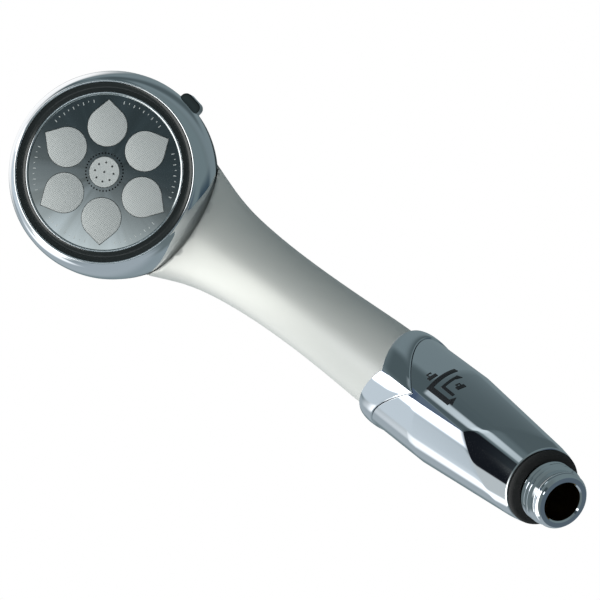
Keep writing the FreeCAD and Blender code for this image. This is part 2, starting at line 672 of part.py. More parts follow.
def handle_body():
    """The satin handle: foot, bent tube, neck and the head's chassis."""
    foot = rod("foot", "handle_foot", "bend_start - handle_start", z="handle_start")
    chassis = in_head(rod("chassis", "chassis_radius", "cover_edge - chassis_front", z="-cover_edge"))
    solid = joined("handle_solid", [foot, neck_outside("neck"), chassis])
    tools = [
        rod("foot_bore", "handle_foot - handle_wall", "bend_start - handle_start + 1", z="handle_start - 1"),
        neck_inside("hollow"),
        bent_rod("tube_way", "tube_radius + tube_clear", number("tube_angle + tube_room"),
                 number("bulkhead_angle") - 3),
        in_head(rod("way_down", "way_radius", "way_depth - drop_start", "0", "-drop_place", "-way_depth")),
        in_head(water_way("way_in")),
        in_head(dome("chamber", "chassis_radius - cover_wall - 2", "cover_wall")),
        in_head(rod("ring_recess", "ring_radius + neck_gap + 0.3", "60", z="-chassis_front")),
        in_head(rod("bezel_recess", "bezel_radius + neck_gap", "60", z="-bezel_depth - neck_gap")),
        in_head(rod("cup_way", "ball_radius + 0.9", "8", "0", "ball_circle", "-cover_edge - 4")),
        in_head(rod("seat_way", "seat_radius_head + 0.1", "20", z="-cover_edge - 1")),
    ]
    for index in range(SEAT_SCREWS):
        tools.append(in_head(polar(f"pilot_{index}", "pilot_radius", "seat_thread + 1", "seat_screw_circle",
                                   45 + 360 / SEAT_SCREWS * index, "-seat_rear - 1")))
    return less("handle", solid, tools)


def back_cover():
    """The satin dome behind the head."""
    outer = in_head(dome("cover_out", "chassis_radius", "0"))
    inner = in_head(dome("cover_in", "chassis_radius - cover_wall", "cover_wall"))
    return less("cover", outer, [inner, neck_outside("cover_neck")])


def tube_o_ring():
    """The seal round the water tube below the bulkhead."""
    angle = number("bulkhead_angle - tube_ring_back")
    item = doc.addObject("Part::Torus", "tube_ring")
    item.setExpression("Radius1", bound("tube_radius + tube_ring_section + tube_clear"))
    item.setExpression("Radius2", bound("tube_ring_section"))
    item.Placement = FreeCAD.Placement(bend_point(angle), FreeCAD.Rotation(FreeCAD.Vector(1, 0, 0), angle))
    return item


# Head -------------------------------------------------------------------------------------------------------------

def bezel_ring():
    """The chrome ring round the face."""
    return turned("bezel", [
        ("lip_radius - lip_width", "lip_height"), ("lip_radius", "lip_height"), ("bezel_shoulder", "-shoulder_depth"),
        ("bezel_radius", "-bezel_depth"), ("bezel_bore", "-bezel_depth"), ("bezel_bore", "-block_front"),
        ("lip_radius - lip_width", "-block_front")])


def trim_ring():
    """The dark ring between plate and bezel."""
    inner = "plate_radius + trim_clear"
    outer = "lip_radius - lip_width - trim_clear"
    return turned("trim", [
        (inner, "trim_inner"), (outer, "trim_outer"), (outer, "-block_front - trim_clear"),
        ("bezel_bore - trim_clear", "-block_front - trim_clear"), ("bezel_bore - trim_clear", "-trim_depth"),
        (inner, "-trim_depth")])


def tip_slope():
    """The angle from a petal's axis to where its straight flank leaves the round end."""
    return math.acos(number("petal_half") / (number("petal_tip") - number("petal_mid")))


def petal(name, grow, height, z):
    """A petal about +X: a round end whose tangents meet in the tip."""
    round_end = number(f"petal_half + ({grow})")
    middle, slope, low = number("petal_mid"), tip_slope(), number(z)
    across, up = round_end * math.cos(slope), round_end * math.sin(slope)
    tip = middle + round_end / math.cos(slope)
    spots = [FreeCAD.Vector(x, y, low) for x, y in (
        (middle, 0), (middle + across, -up), (tip, 0), (middle + across, up))]
    point = doc.addObject("Part::Feature", name + "_point")
    point.Shape = Part.Face(Part.makePolygon(spots + spots[:1])).extrude(FreeCAD.Vector(0, 0, number(height)))
    return joined(name, [rod(name + "_round", f"petal_half + ({grow})", height, "petal_mid", "0", z), point])


def petal_angle(index):
    """Petals stand at 30, 90, 150 degrees and so on, so one points down the handle."""
    return 360 / PETALS * (index + 0.5)


def face_plate():
    """The mirror plate, open for the petals and the centre disc, with a ring of fine holes."""
    depth = "plate_depth + plate_thick"
    plate = rod("plate", "plate_radius", "plate_thick", z=f"-({depth})")
    cuts = [rod("disc_window", "disc_radius + petal_clear", "4", z="-3")]
    for index in range(PETALS):
        window = petal(f"window_{index}", "petal_clear", "4", "-3")
        cuts.append(about_z(window, petal_angle(index)))
    for index in range(FINE_HOLES):
        cuts.append(polar(f"fine_{index}", "fine_hole", "4", "fine_radius", 360 / FINE_HOLES * index, "-3"))
    return less("mirror", plate, cuts)


def in_petal(x, y, margin):
    """Whether a point lies in a petal about +X and keeps a margin from its edge."""
    slope = tip_slope()
    away = x - number("petal_mid")
    room = number("petal_half") - margin
    if math.atan2(abs(y), away) > slope:
        return math.hypot(away, y) < room
    return away * math.cos(slope) + abs(y) * math.sin(slope) < room


def petal_screen(index):
    """One mist screen with rows of holes, drawn about +X and then turned."""
    blank = petal(f"screen_{index}", "0", "screen_thick", "-screen_thick")
    pitch = number("mist_pitch")
    row_step = pitch * math.sqrt(3) / 2
    rows = math.ceil(number("petal_half") / row_step)
    columns = math.ceil(number("petal_tip") / pitch)
    holes = []
    for row in range(-rows, rows + 1):
        for column in range(columns):
            x, y = (column + 0.5 * (row % 2)) * pitch, row * row_step
            if in_petal(x, y, number("mist_margin")):
                holes.append(rod(f"mist_{index}_{row + rows}_{column}", "mist_hole", "screen_thick + 2", str(x),
                                 str(y), "-screen_thick - 1"))
    return about_z(less(f"screen_cut_{index}", blank, holes), petal_angle(index))


def centre_disc():
    """The jet disc with nine holes."""
    disc = rod("jet_disc", "disc_radius", "disc_thick", z="-disc_thick")
    holes = [rod("jet_mid", "jet_hole", "5", z="-3")]
    for index in range(JET_HOLES):
        holes.append(polar(f"jet_{index}", "jet_hole", "5", "jet_radius", 360 / JET_HOLES * (index + 0.5), "-3"))
    return less("jets", disc, holes)


def port_tools(name, z, height, grow="0"):
    """The three ways through the spray manifold and its gasket."""
    return [
        polar(name + "_petals", f"port_radius + {grow}", height, "petal_port", "90", z),
        polar(name + "_fine", f"fine_port + {grow}", height, "(fine_channel_in + fine_channel_out) / 2",
              "90 + step_angle", z),
        rod(name + "_jets", f"port_radius + {grow}", height, z=z)]


def screw_ways(name, radius, z, height):
    """The places of the face screws."""
    return [polar(f"{name}_{index}", radius, height, "screw_circle", 360 / FACE_SCREWS * index, z)
            for index in range(FACE_SCREWS)]


def spray_manifold():
    """The block with one channel for each pattern."""
    floor = "-channel_floor"
    front = "-block_front"
    block_shape = turned("manifold", [
        ("0", "-block_rear"), ("block_radius", "-block_rear"), ("block_radius", "-trim_depth"),
        ("plate_radius", "-trim_depth"), ("plate_radius", front), ("petal_channel", front), ("petal_channel", floor),
        ("petal_wall", floor), ("petal_wall", front), ("fine_channel_out", front), ("fine_channel_out", floor),
        ("fine_channel_in", floor), ("fine_channel_in", front), ("jet_channel", front), ("jet_channel", floor),
        ("0", floor)])
    cuts = port_tools("block_port", "-block_rear - 1", "5") + screw_ways("block_screw", "screw_radius + 0.1",
                                                                       "-block_rear - 1", "8")
    cuts += screw_ways("block_head", "screw_head + 0.1", "-trim_depth - 1.6", "3")
    return less("manifold_cut", block_shape, cuts)


def manifold_gasket():
    """The flat gasket behind the spray manifold."""
    sheet_shape = rod("gasket", "block_radius", "gasket_thick", z="-block_rear - gasket_thick")
    cuts = port_tools("gasket_port", "-block_rear - gasket_thick - 1", "3", "0.2")
    return less("gasket_cut", sheet_shape, cuts + screw_ways("gasket_screw", "screw_radius + 0.1",
                                                             "-block_rear - gasket_thick - 1", "3"))


def manifold_back():
    """The fixed plate that leads three ports to the three channels."""
    front = "-block_rear - gasket_thick"
    rear = f"{front} - port_plate"
    plate = rod("ports", "block_radius", "port_plate", z=rear)
    cuts = []
    for index, target in enumerate(("0", "petal_port", "(fine_channel_in + fine_channel_out) / 2")):
        angle = f"90 + ({index} - 1) * step_angle"
        cuts.append(polar(f"port_{index}", "port_radius", "port_plate + 2", "port_circle", angle, f"{rear} - 1"))
        near = min(number(target), number("port_circle"))
        slot = block(f"way_{index}", f"abs(port_circle - ({target}))", "slot_width", "slot_depth + 1", str(near), "0",
                     f"{front} - slot_depth")
        cuts.append(about_z(slot, 90 + (index - 1) * number("step_angle")))
        cuts.append(polar(f"way_end_{index}", "slot_width / 2", "slot_depth + 1", target, angle,
                          f"{front} - slot_depth"))
    cuts += screw_ways("port_screw", "screw_radius", f"{rear} + 1", "port_plate")
    cuts.append(rod("port_thread", "centre_screw_radius", "centre_thread + 1", z=f"{rear} - 1"))
    return less("ports_cut", plate, cuts)


def face_screws():
    """The screws that hold the spray manifold to the port plate."""
    rear = "-block_rear - gasket_thick - port_plate + 1.2"
    shafts = screw_ways("shaft", "screw_radius", rear, "block_rear + gasket_thick + port_plate - trim_depth - 1.3")
    heads = screw_ways("head", "screw_head", "-trim_depth - 1.5", "1.4")
    pairs = [joined(f"face_screw_{index}", [shaft, head]) for index, (shaft, head) in enumerate(zip(shafts, heads))]
    item = doc.addObject("Part::Compound", "screws")
    item.Links = pairs
    return item


def diverter_disc():
    """The disc that turns with the selector ring and opens one port."""
    front = "block_rear + gasket_thick + port_plate + disc_gap"
    low = f"-({front}) - diverter_thick"
    disc = rod("diverter", "diverter_radius", "diverter_thick", z=low)
    bar = block("diverter_keys", "2 * (diverter_radius + diverter_key)", "3", "diverter_thick",
                "-diverter_radius - diverter_key", "0", low)
    cuts = [polar("diverter_port", "port_radius", "diverter_thick + 2", "port_circle", "90", f"{low} - 1"),
            rod("diverter_way", "post_radius + post_clear", "diverter_thick + 2", z=f"{low} - 1")]
    return less("diverter_cut", joined("diverter_whole", [disc, bar]), cuts)


def selector_ring():
    """The chrome ring behind the bezel with its lever."""
    front = "-(block_rear + gasket_thick + port_plate + running_gap)"
    bore = "diverter_radius + ring_clear"
    band = turned("selector", [
        (bore, "-ring_rear"), ("ring_rear_radius", "-ring_rear"), ("ring_radius", "-ring_taper"),
        ("ring_radius", "-ring_front"), ("ring_hub", "-ring_front"), ("ring_hub", front), (bore, front)])
    lever = block("lever", "lever_tip - ring_hub", "lever_width", "lever_thick", "ring_hub", "0",
                  "-ring_front - 1 - lever_thick")
    rounded = doc.addObject("Part::Fillet", "lever_round")
    rounded.Base = lever
    doc.recompute()
    tips = [index for index, edge in enumerate(lever.Shape.Edges, start=1)
            if edge.BoundBox.XMin > number("lever_tip") - 0.01 and edge.BoundBox.ZLength > 1]
    rounded.Edges = [(index, 2.5, 2.5) for index in tips]
    whole = joined("selector_whole", [band, about_z(rounded, number("lever_angle"))])
    notch = block("selector_notch", "2 * (diverter_radius + diverter_key + ring_clear)", "3.2",
                  "diverter_thick + 4", "-diverter_radius - diverter_key - ring_clear", "0",
                  "-(block_rear + gasket_thick + port_plate + disc_gap) - diverter_thick - 0.1")
    dimples = []
    for index in (-1, 0, 1):
        dimples.append(polar(f"dimple_{index + 1}", "ball_radius * 0.8", "0.6", "ball_circle",
                             f"90 + {index} * step_angle", "-ring_rear - 0.1"))
    return less("selector_cut", whole, [notch] + dimples)


def centre_post():
    """The post that carries the port plate and guides the diverter."""
    front = "-(block_rear + gasket_thick + port_plate)"
    return turned("post", [
        ("screw_way", "-seat_front - post_seat"), ("post_radius", "-seat_front - post_seat"),
        ("post_radius", front), ("screw_way", front)])


def centre_screw():
    """The screw through the seat and the post into the port plate."""
    head = "-seat_rear - seat_flange_thick"
    tip = "-(block_rear + gasket_thick + port_plate) + centre_thread"
    return turned("mid_screw", [
        ("0", f"{head} - centre_head_thick"), ("centre_head", f"{head} - centre_head_thick"), ("centre_head", head),
        ("centre_screw_radius", head), ("centre_screw_radius", tip), ("0", tip)])


def valve_seat():
    """The fixed seat behind the diverter, with a curved way that serves every position."""
    seat = turned("seat", [
        ("screw_way", "-seat_rear - seat_flange_thick"), ("seat_flange", "-seat_rear - seat_flange_thick"),
        ("seat_flange", "-seat_rear"), ("seat_radius_head", "-seat_rear"), ("seat_radius_head", "-seat_front"),
        ("seal_circle + seal_section + 0.1", "-seat_front"),
        ("seal_circle + seal_section + 0.1", "-seat_front - seal_groove"),
        ("seal_circle - seal_section - 0.1", "-seat_front - seal_groove"),
        ("seal_circle - seal_section - 0.1", "-seat_front"),
        ("post_radius + post_clear", "-seat_front"), ("post_radius + post_clear", "-seat_front - post_seat"),
        ("screw_way", "-seat_front - post_seat")])
    cuts = []
    for index in range(-4, 5):
        cuts.append(polar(f"seat_way_{index + 4}", "port_radius - 0.2", "16", "port_circle - 1",
                          f"90 + {index} / 4 * step_angle", "-seat_rear - 4"))
    for index in range(SEAT_SCREWS):
        cuts.append(polar(f"seat_hole_{index}", "seat_screw + 0.1", "seat_flange_thick + 2", "seat_screw_circle",
                          45 + 360 / SEAT_SCREWS * index, "-seat_rear - seat_flange_thick - 1"))
    return less("seat_cut", seat, cuts)


def seat_screws():
    """The screws that hold the seat to the chassis."""
    pairs = []
    base = "-seat_rear - seat_flange_thick"
    for index in range(SEAT_SCREWS):
        angle = 45 + 360 / SEAT_SCREWS * index
        shaft = polar(f"seat_shaft_{index}", "seat_screw", "seat_flange_thick + seat_thread", "seat_screw_circle",
                      angle, base)
        head = polar(f"seat_head_{index}", "seat_screw_head", "seat_head_thick", "seat_screw_circle", angle,
                     f"{base} - seat_head_thick")
        pairs.append(joined(f"seat_screw_{index}", [shaft, head]))
    item = doc.addObject("Part::Compound", "seat_fasteners")
    item.Links = pairs
    return item


def diverter_seal():
    """The seal between the seat and the turning disc."""
    return ring("seat_ring", "seal_circle", "seal_section",
                "-(block_rear + gasket_thick + port_plate + disc_gap) - diverter_thick - 0.05 - seal_section")


def detent_ball():
    """The ball that clicks the selector ring, drawn pressed in."""
    item = doc.addObject("Part::Sphere", "ball")
    item.setExpression("Radius", bound("ball_radius"))
    return place(item, "0", "ball_circle", "-ring_rear - 0.05 - ball_radius")


def detent_spring():
    """The detent's spring as a plain rod of its outer size."""
    return rod("ball_spring", "ball_radius - 0.2", "spring_length", "0", "ball_circle",
               "-ring_rear - 0.05 - 2 * ball_radius - spring_length")


def detent_cup():
    """The cup on the chassis that holds ball and spring."""
    base = "-ring_rear - 0.05 - 2 * ball_radius - spring_length - 0.4"
    cup = rod("cup", "ball_radius + 0.9", f"-chassis_front - ({base})", "0", "ball_circle", base)
    return less("cup_cut", cup, [rod("cup_bore", "ball_radius + 0.05", "20", "0", "ball_circle", f"{base} + 0.4")])


def build():
    """Every piece, with its label."""
    piece("inlet_nipple", inlet_nipple())
    piece("shoulder_ring", shoulder_ring())
    piece("flow_limiter", flow_limiter())
    piece("inlet_strainer", inlet_strainer())
    piece("grip_shell", grip_shell())
    piece("collar", collar())
    piece("bayonet_plug", bayonet_plug())
    piece("plug_o_ring", plug_o_ring())
    piece("cartridge_foot_cap", cartridge_foot_cap())
    piece("cartridge_tube", cartridge_tube())
    piece("filter_media", filter_media())
    piece("cartridge_top_cap", cartridge_top_cap())
    piece("bayonet_socket", bayonet_socket())
    piece("water_tube", water_tube())
    piece("handle_body", handle_body())
    piece("back_cover", back_cover())
    piece("tube_o_ring", tube_o_ring())
    head_piece("bezel_ring", bezel_ring())
    head_piece("trim_ring", trim_ring())
    head_piece("face_plate", face_plate())
    for index in range(PETALS):
        head_piece(f"petal_screen_{index + 1}", petal_screen(index))
    head_piece("centre_disc", centre_disc())
    head_piece("spray_manifold", spray_manifold())
    head_piece("manifold_gasket", manifold_gasket())
    head_piece("manifold_back", manifold_back())
    head_piece("face_screws", face_screws())
    head_piece("diverter_disc", diverter_disc())
    head_piece("selector_ring", selector_ring())
    head_piece("centre_post", centre_post())
    head_piece("centre_screw", centre_screw())
    head_piece("valve_seat", valve_seat())
    head_piece("seat_screws", seat_screws())
    head_piece("diverter_seal", diverter_seal())
    head_piece("detent_ball", detent_ball())
    head_piece("detent_spring", detent_spring())
    head_piece("detent_cup", detent_cup())


def check_and_write():
    """Refuse failed objects and empty or broken shapes, then write the pieces."""
    doc.recompute()
    failed = [item.Name for item in doc.Objects if "Invalid" in item.State or "Error" in item.State]
    if failed:
        raise RuntimeError(f"failed objects: {', '.join(failed)}")
    broken = [label for label, item in PIECES.items() if item.Shape.isNull() or not item.Shape.isValid()]
    if broken:
        raise RuntimeError(f"no valid shape: {', '.join(broken)}")
    os.makedirs("parts", exist_ok=True)
    for label, item in PIECES.items():
        item.Shape.exportStep(f"parts/{label}.step")
        box = item.Shape.BoundBox
        print(f"{label:22s} solids {len(item.Shape.Solids)} volume {item.Shape.Volume:9.1f} "
              f"x {box.XMin:.1f}..{box.XMax:.1f} y {box.YMin:.1f}..{box.YMax:.1f} z {box.ZMin:.1f}..{box.ZMax:.1f}")


build()
check_and_write()
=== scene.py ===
"""Handheld shower head: the visible pieces, their finishes and the stage."""

import json
import math

import bmesh
import bpy
from mathutils import Matrix, Vector


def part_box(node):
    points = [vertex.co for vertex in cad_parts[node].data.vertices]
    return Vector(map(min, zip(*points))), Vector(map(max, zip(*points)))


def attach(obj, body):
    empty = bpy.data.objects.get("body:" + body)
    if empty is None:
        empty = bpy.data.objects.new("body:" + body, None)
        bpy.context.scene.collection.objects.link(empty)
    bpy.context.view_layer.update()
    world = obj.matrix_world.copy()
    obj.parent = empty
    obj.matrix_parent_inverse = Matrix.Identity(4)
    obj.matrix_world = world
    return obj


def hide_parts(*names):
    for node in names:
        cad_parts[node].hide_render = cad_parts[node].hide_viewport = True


bl_info = {
    "name": "Handheld Shower Head",
    "version": (1, 0, 0),
    "blender": (4, 5, 0),
    "location": "View3D > Sidebar > Shower",
    "description": "Builds the visible pieces of a handheld shower head round its packed frame",
    "category": "Object",
}

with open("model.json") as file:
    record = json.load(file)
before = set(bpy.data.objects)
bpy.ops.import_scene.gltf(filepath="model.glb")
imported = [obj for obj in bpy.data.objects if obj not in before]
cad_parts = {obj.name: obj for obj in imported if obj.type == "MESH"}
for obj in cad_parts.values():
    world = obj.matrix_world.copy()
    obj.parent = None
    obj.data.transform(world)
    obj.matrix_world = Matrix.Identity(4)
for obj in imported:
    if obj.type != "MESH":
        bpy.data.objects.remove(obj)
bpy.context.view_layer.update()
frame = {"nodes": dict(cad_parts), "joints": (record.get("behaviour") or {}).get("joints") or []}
MM = 0.001


# Frame ------------------------------------------------------------------------------------------------------------

def head_space():
    """The head's own space: origin at the face's centre, +Z along the spray, +Y up and away from the handle."""
    turn = [joint for joint in frame["joints"] if joint["name"] == "selector_turn"][0]
    out = Vector(turn["axis"]).normalized()
    right = Vector((1, 0, 0))
    up = out.cross(right)
    basis = Matrix((right, up, out)).transposed().to_4x4()
    return Matrix.Translation(Vector(turn["pos_m"])) @ basis


HEAD = head_space()
UPRIGHT = Matrix.Identity(4)


def half_width(node):
    """Half of a node's width across X, which is the radius of a round one."""
    low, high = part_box(node)
    return (high.x - low.x) / 2


# Sizes and colours ------------------------------------------------------------------------------------------------

def length(name, description, default):
    """A size in metres."""
    return bpy.props.FloatProperty(name=name, description=description, default=default, unit="LENGTH", precision=5)


def colour(name, description, default):
    """A colour."""
    return bpy.props.FloatVectorProperty(name=name, description=description, default=default, subtype="COLOR",
                                         size=3, min=0, max=1)


def share(name, description, default):
    """A number from 0 to 1."""
    return bpy.props.FloatProperty(name=name, description=description, default=default, min=0, max=1)


class ShowerHeadSizes(bpy.types.PropertyGroup):
    """Sizes of the spray head."""
    bezel_radius: length("Bezel", "Radius of the bezel at its rear", half_width("bezel_ring"))
    lip_radius: length("Lip", "Radius of the bezel's bead", 0.0345)
    lip_width: length("Lip width", "Width of the bezel's bead", 0.0009)
    bezel_depth: length("Bezel depth", "Bezel behind the face", 0.016)
    trim_radius: length("Trim", "Outer radius of the dark ring", 0.0335)
    plate_radius: length("Plate", "Radius of the mirror plate", half_width("face_plate"))
    plate_drop: length("Plate drop", "Plate behind the face", 0.0002)
    plate_thick: length("Plate thickness", "Mirror plate", 0.0012)
    petal_tip: length("Petal tip", "Tip from the axis", 0.0271)
    petal_mid: length("Petal middle", "Centre of the round end from the axis", 0.0171)
    petal_half: length("Petal round", "Radius of the round end", 0.0075)
    petal_gap: length("Petal gap", "Gap round a petal", 0.0002)
    screen_thick: length("Screen", "Thickness of a screen", 0.0011)
    disc_radius: length("Disc", "Radius of the jet disc", half_width("centre_disc"))
    disc_thick: length("Disc thickness", "Jet disc", 0.0012)
    jet_circle: length("Jets", "Ring of jets from the axis", 0.0036)
    jet_hole: length("Jet hole", "Radius of a jet", 0.0004)
    fine_circle: length("Fine holes", "Ring of fine holes from the axis", 0.0071)
    fine_hole: length("Fine hole", "Radius of a fine hole", 0.00032)
    ring_radius: length("Selector", "Radius of the selector ring", 0.0382)
    ring_rear_radius: length("Selector rear", "Radius of the selector ring at its rear", 0.0358)
    ring_front: length("Selector front", "Ring's front behind the face", 0.0163)
    ring_rear: length("Selector back", "Ring's rear behind the face", 0.0246)
    lever_tip: length("Lever", "Tip from the axis", 0.0418)
    lever_width: length("Lever width", "Across the lever", 0.009)
    lever_thick: length("Lever thickness", "Along the axis", 0.0062)
    lever_angle: bpy.props.FloatProperty(name="Lever angle", description="Lever at rest", subtype="ANGLE",
                                         default=math.radians(-9.5))


class ShowerGripSizes(bpy.types.PropertyGroup):
    """Sizes of the nose and its thread."""
    bore_radius: length("Bore", "Water bore", 0.0068)
    rim_radius: length("Rim", "Sealing face", 0.0091)
    neck_radius: length("Neck", "Plain nose before the thread", 0.00985)
    thread_radius: length("Thread", "Major radius of the thread", 0.0104775)
    thread_root: length("Thread root", "Root radius of the thread", 0.00945)
    thread_pitch: length("Pitch", "Pitch of the thread", 0.001814)
    thread_start: length("Thread start", "First crest above the rim", 0.0046)
    thread_end: length("Thread end", "Last crest above the rim", 0.0106)
    grip_start: length("Grip start", "Lower end of the grip shell", 0.0137)
    grip_end: length("Grip end", "Radius of the grip shell's lower end", 0.0136)
    grip_bore_low: length("Grip bore", "Bore of the grip shell's lower end", 0.0110)
    cusp_height: length("Cusp", "Height where the cone meets the ridges", 0.0415)
    facet_foot: length("Facet foot", "Half width of the facets at the lower end", 0.0139)
    ridge_foot: length("Ridge foot", "Ridges at the lower end", 0.0154)
    taper_end: length("Taper end", "Height where the facets stop widening", 0.070)
    grip_half: length("Grip half width", "Across the facets", 0.0182)
    ridge: length("Ridge", "Ridges in front and behind", 0.0196)
    seam_front: length("Seam", "Height of the collar seam on a ridge", 0.0735)
    seam_rise: length("Seam rise", "From ridge to side", 0.028)
    edge_front: length("Upper edge", "Height of the collar's upper edge on a ridge", 0.0945)
    edge_rise: length("Upper edge rise", "From ridge to side", 0.0135)
    sleeve: length("Sleeve", "Bore of the collar", 0.016)
    spine: length("Spine", "Half width of the flat strip along a ridge, at the seam", 0.0013)
    collar_proud: length("Collar flare", "Collar beyond the grip's faces", 0.0006)


class ShowerFinishes(bpy.types.PropertyGroup):
    """Colours and gloss of the finishes."""
    chrome: colour("Chrome", "Bright plate", (0.80, 0.82, 0.84))
    satin: colour("Satin", "Pearl nickel", (0.64, 0.635, 0.53))
    dark: colour("Dark trim", "Gloss ring", (0.006, 0.007, 0.009))
    smoked: colour("Smoked chrome", "Selector ring", (0.13, 0.14, 0.14))
    mirror: colour("Mirror plate", "Mirror steel", (0.55, 0.56, 0.54))
    screen: colour("Screens", "Matt perforated steel", (0.60, 0.62, 0.61))
    rubber: colour("Rubber", "Seals", (0.005, 0.005, 0.006))
    print_ink: colour("Marks", "Printed marks", (0.01, 0.01, 0.012))
    chrome_roughness: share("Chrome roughness", "Roughness of the plate", 0.035)
    satin_roughness: share("Satin roughness", "Roughness of the pearl nickel", 0.30)
    floor: colour("Floor", "Plain pale floor", (0.86, 0.86, 0.85))


def head_sizes():
    return bpy.context.scene.shower_head_sizes


def grip_sizes():
    return bpy.context.scene.shower_grip_sizes


def finishes():
    return bpy.context.scene.shower_finishes


# Modelling --------------------------------------------------------------------------------------------------------

def spun(outline, steps=160, closed=True):
    """A mesh turned about Z from an outline of (radius, height) points in metres."""
    mesh = bmesh.new()
    spots = [mesh.verts.new((radius, 0, height)) for radius, height in outline]
    last = len(spots) if closed else len(spots) - 1
    edges = [mesh.edges.new((spots[index], spots[(index + 1) % len(spots)])) for index in range(last)]
    bmesh.ops.spin(mesh, geom=spots + edges, cent=(0, 0, 0), axis=(0, 0, 1), angle=math.tau, steps=steps,
                   use_merge=True)
    bmesh.ops.remove_doubles(mesh, verts=mesh.verts, dist=1e-7)
    bmesh.ops.recalc_face_normals(mesh, faces=mesh.faces)
    return mesh


def round_edges(mesh, width, over=30, segments=3):
    """Bevel every edge that turns by more than an angle in degrees."""
    limit = math.radians(over)
    sharp = [edge for edge in mesh.edges if len(edge.link_faces) == 2 and edge.calc_face_angle(0) > limit]
    bmesh.ops.bevel(mesh, geom=sharp, offset=width, offset_type="OFFSET", segments=segments, profile=0.5,
                    affect="EDGES", clamp_overlap=True, material=-1)


def finished(name, mesh, space, material, body, replaced=(), sharp=40):
    """Make a piece of a mesh: place it, shade it, and tie it to its body."""
    mesh.transform(space)
    data = bpy.data.meshes.new(name)
    mesh.to_mesh(data)
    mesh.free()
    data.shade_smooth()
    data.set_sharp_from_angle(angle=math.radians(sharp))
    data.materials.append(material)
    item = bpy.data.objects.new(name, data)
    bpy.context.scene.collection.objects.link(item)
    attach(item, body)
    if replaced:
        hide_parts(*replaced)
    return item


def cut_away(mesh, tool):
    """Take a closed tool mesh away from a closed mesh."""
    kept = loose_object("kept", mesh)
    cutter = loose_object("cutter", tool)
    change = kept.modifiers.new("cut", "BOOLEAN")
    change.operation = "DIFFERENCE"
    change.solver = "EXACT"
    change.object = cutter
    return taken_back(kept, cutter)


def loose_object(name, mesh):
    """A scratch object that holds a mesh."""
    data = bpy.data.meshes.new(name)
    mesh.to_mesh(data)
    mesh.free()
    item = bpy.data.objects.new(name, data)
    bpy.context.scene.collection.objects.link(item)
    return item


def taken_back(item, *others):
    """The evaluated mesh of a scratch object; the scratch objects are removed."""
    bpy.context.view_layer.update()
    graph = bpy.context.evaluated_depsgraph_get()
    mesh = bmesh.new()
    mesh.from_object(item, graph)
    for scratch in (item, *others):
        data = scratch.data
        bpy.data.objects.remove(scratch)
        bpy.data.meshes.remove(data)
    return mesh


def joined(meshes):
    """One mesh of several."""
    whole = bmesh.new()
    for mesh in meshes:
        data = bpy.data.meshes.new("part")
        mesh.to_mesh(data)
        mesh.free()
        whole.from_mesh(data)
        bpy.data.meshes.remove(data)
    return whole


def round_bar(radius, low, high, x=0.0, y=0.0, steps=24):
    """A closed round bar along Z."""
    mesh = bmesh.new()
    bmesh.ops.create_cone(mesh, cap_ends=True, segments=steps, radius1=radius, radius2=radius, depth=high - low,
                          matrix=Matrix.Translation((x, y, (low + high) / 2)))
    return mesh


def merged_copy(node):
    """A welded copy of a node's mesh."""
    mesh = bmesh.new()
    mesh.from_mesh(frame["nodes"][node].data)
    bmesh.ops.remove_doubles(mesh, verts=mesh.verts, dist=2e-6)
    return mesh


# Finishes ---------------------------------------------------------------------------------------------------------

def add_node(tree, kind, **values):
    """A shader node with some of its settings."""
    node = tree.nodes.new(kind)
    for key, value in values.items():
        setattr(node, key, value)
    return node


def fine_grain():
    """Shared group: a small change of roughness and a fine height from noise at two scales."""
    name = "fine_grain"
    if name in bpy.data.node_groups:
        return bpy.data.node_groups[name]
    tree = bpy.data.node_groups.new(name, "ShaderNodeTree")
    for title, default in (("Scale", 400.0), ("Roughness", 0.3), ("Spread", 0.05)):
        socket = tree.interface.new_socket(name=title, in_out="INPUT", socket_type="NodeSocketFloat")
        socket.default_value = default
    tree.interface.new_socket(name="Vector", in_out="INPUT", socket_type="NodeSocketVector")
    tree.interface.new_socket(name="Roughness", in_out="OUTPUT", socket_type="NodeSocketFloat")
    tree.interface.new_socket(name="Height", in_out="OUTPUT", socket_type="NodeSocketFloat")
    inputs = add_node(tree, "NodeGroupInput")
    outputs = add_node(tree, "NodeGroupOutput")
    cloud = add_node(tree, "ShaderNodeTexNoise")
    cloud.inputs["Detail"].default_value = 4
    speck = add_node(tree, "ShaderNodeTexNoise")
    speck.inputs["Detail"].default_value = 2
    slow = add_node(tree, "ShaderNodeMath", operation="MULTIPLY")
    slow.inputs[1].default_value = 0.12
    centred = add_node(tree, "ShaderNodeMath", operation="SUBTRACT")
    centred.inputs[1].default_value = 0.5
    spread = add_node(tree, "ShaderNodeMath", operation="MULTIPLY_ADD")
    link = tree.links.new
    link(inputs.outputs["Scale"], slow.inputs[0])
    link(slow.outputs[0], cloud.inputs["Scale"])
    link(inputs.outputs["Scale"], speck.inputs["Scale"])
    link(inputs.outputs["Vector"], cloud.inputs["Vector"])
    link(inputs.outputs["Vector"], speck.inputs["Vector"])
    link(cloud.outputs["Fac"], centred.inputs[0])
    link(centred.outputs[0], spread.inputs[0])
    link(inputs.outputs["Spread"], spread.inputs[1])
    link(inputs.outputs["Roughness"], spread.inputs[2])
    link(spread.outputs[0], outputs.inputs["Roughness"])
    link(speck.outputs["Fac"], outputs.inputs["Height"])
    return tree


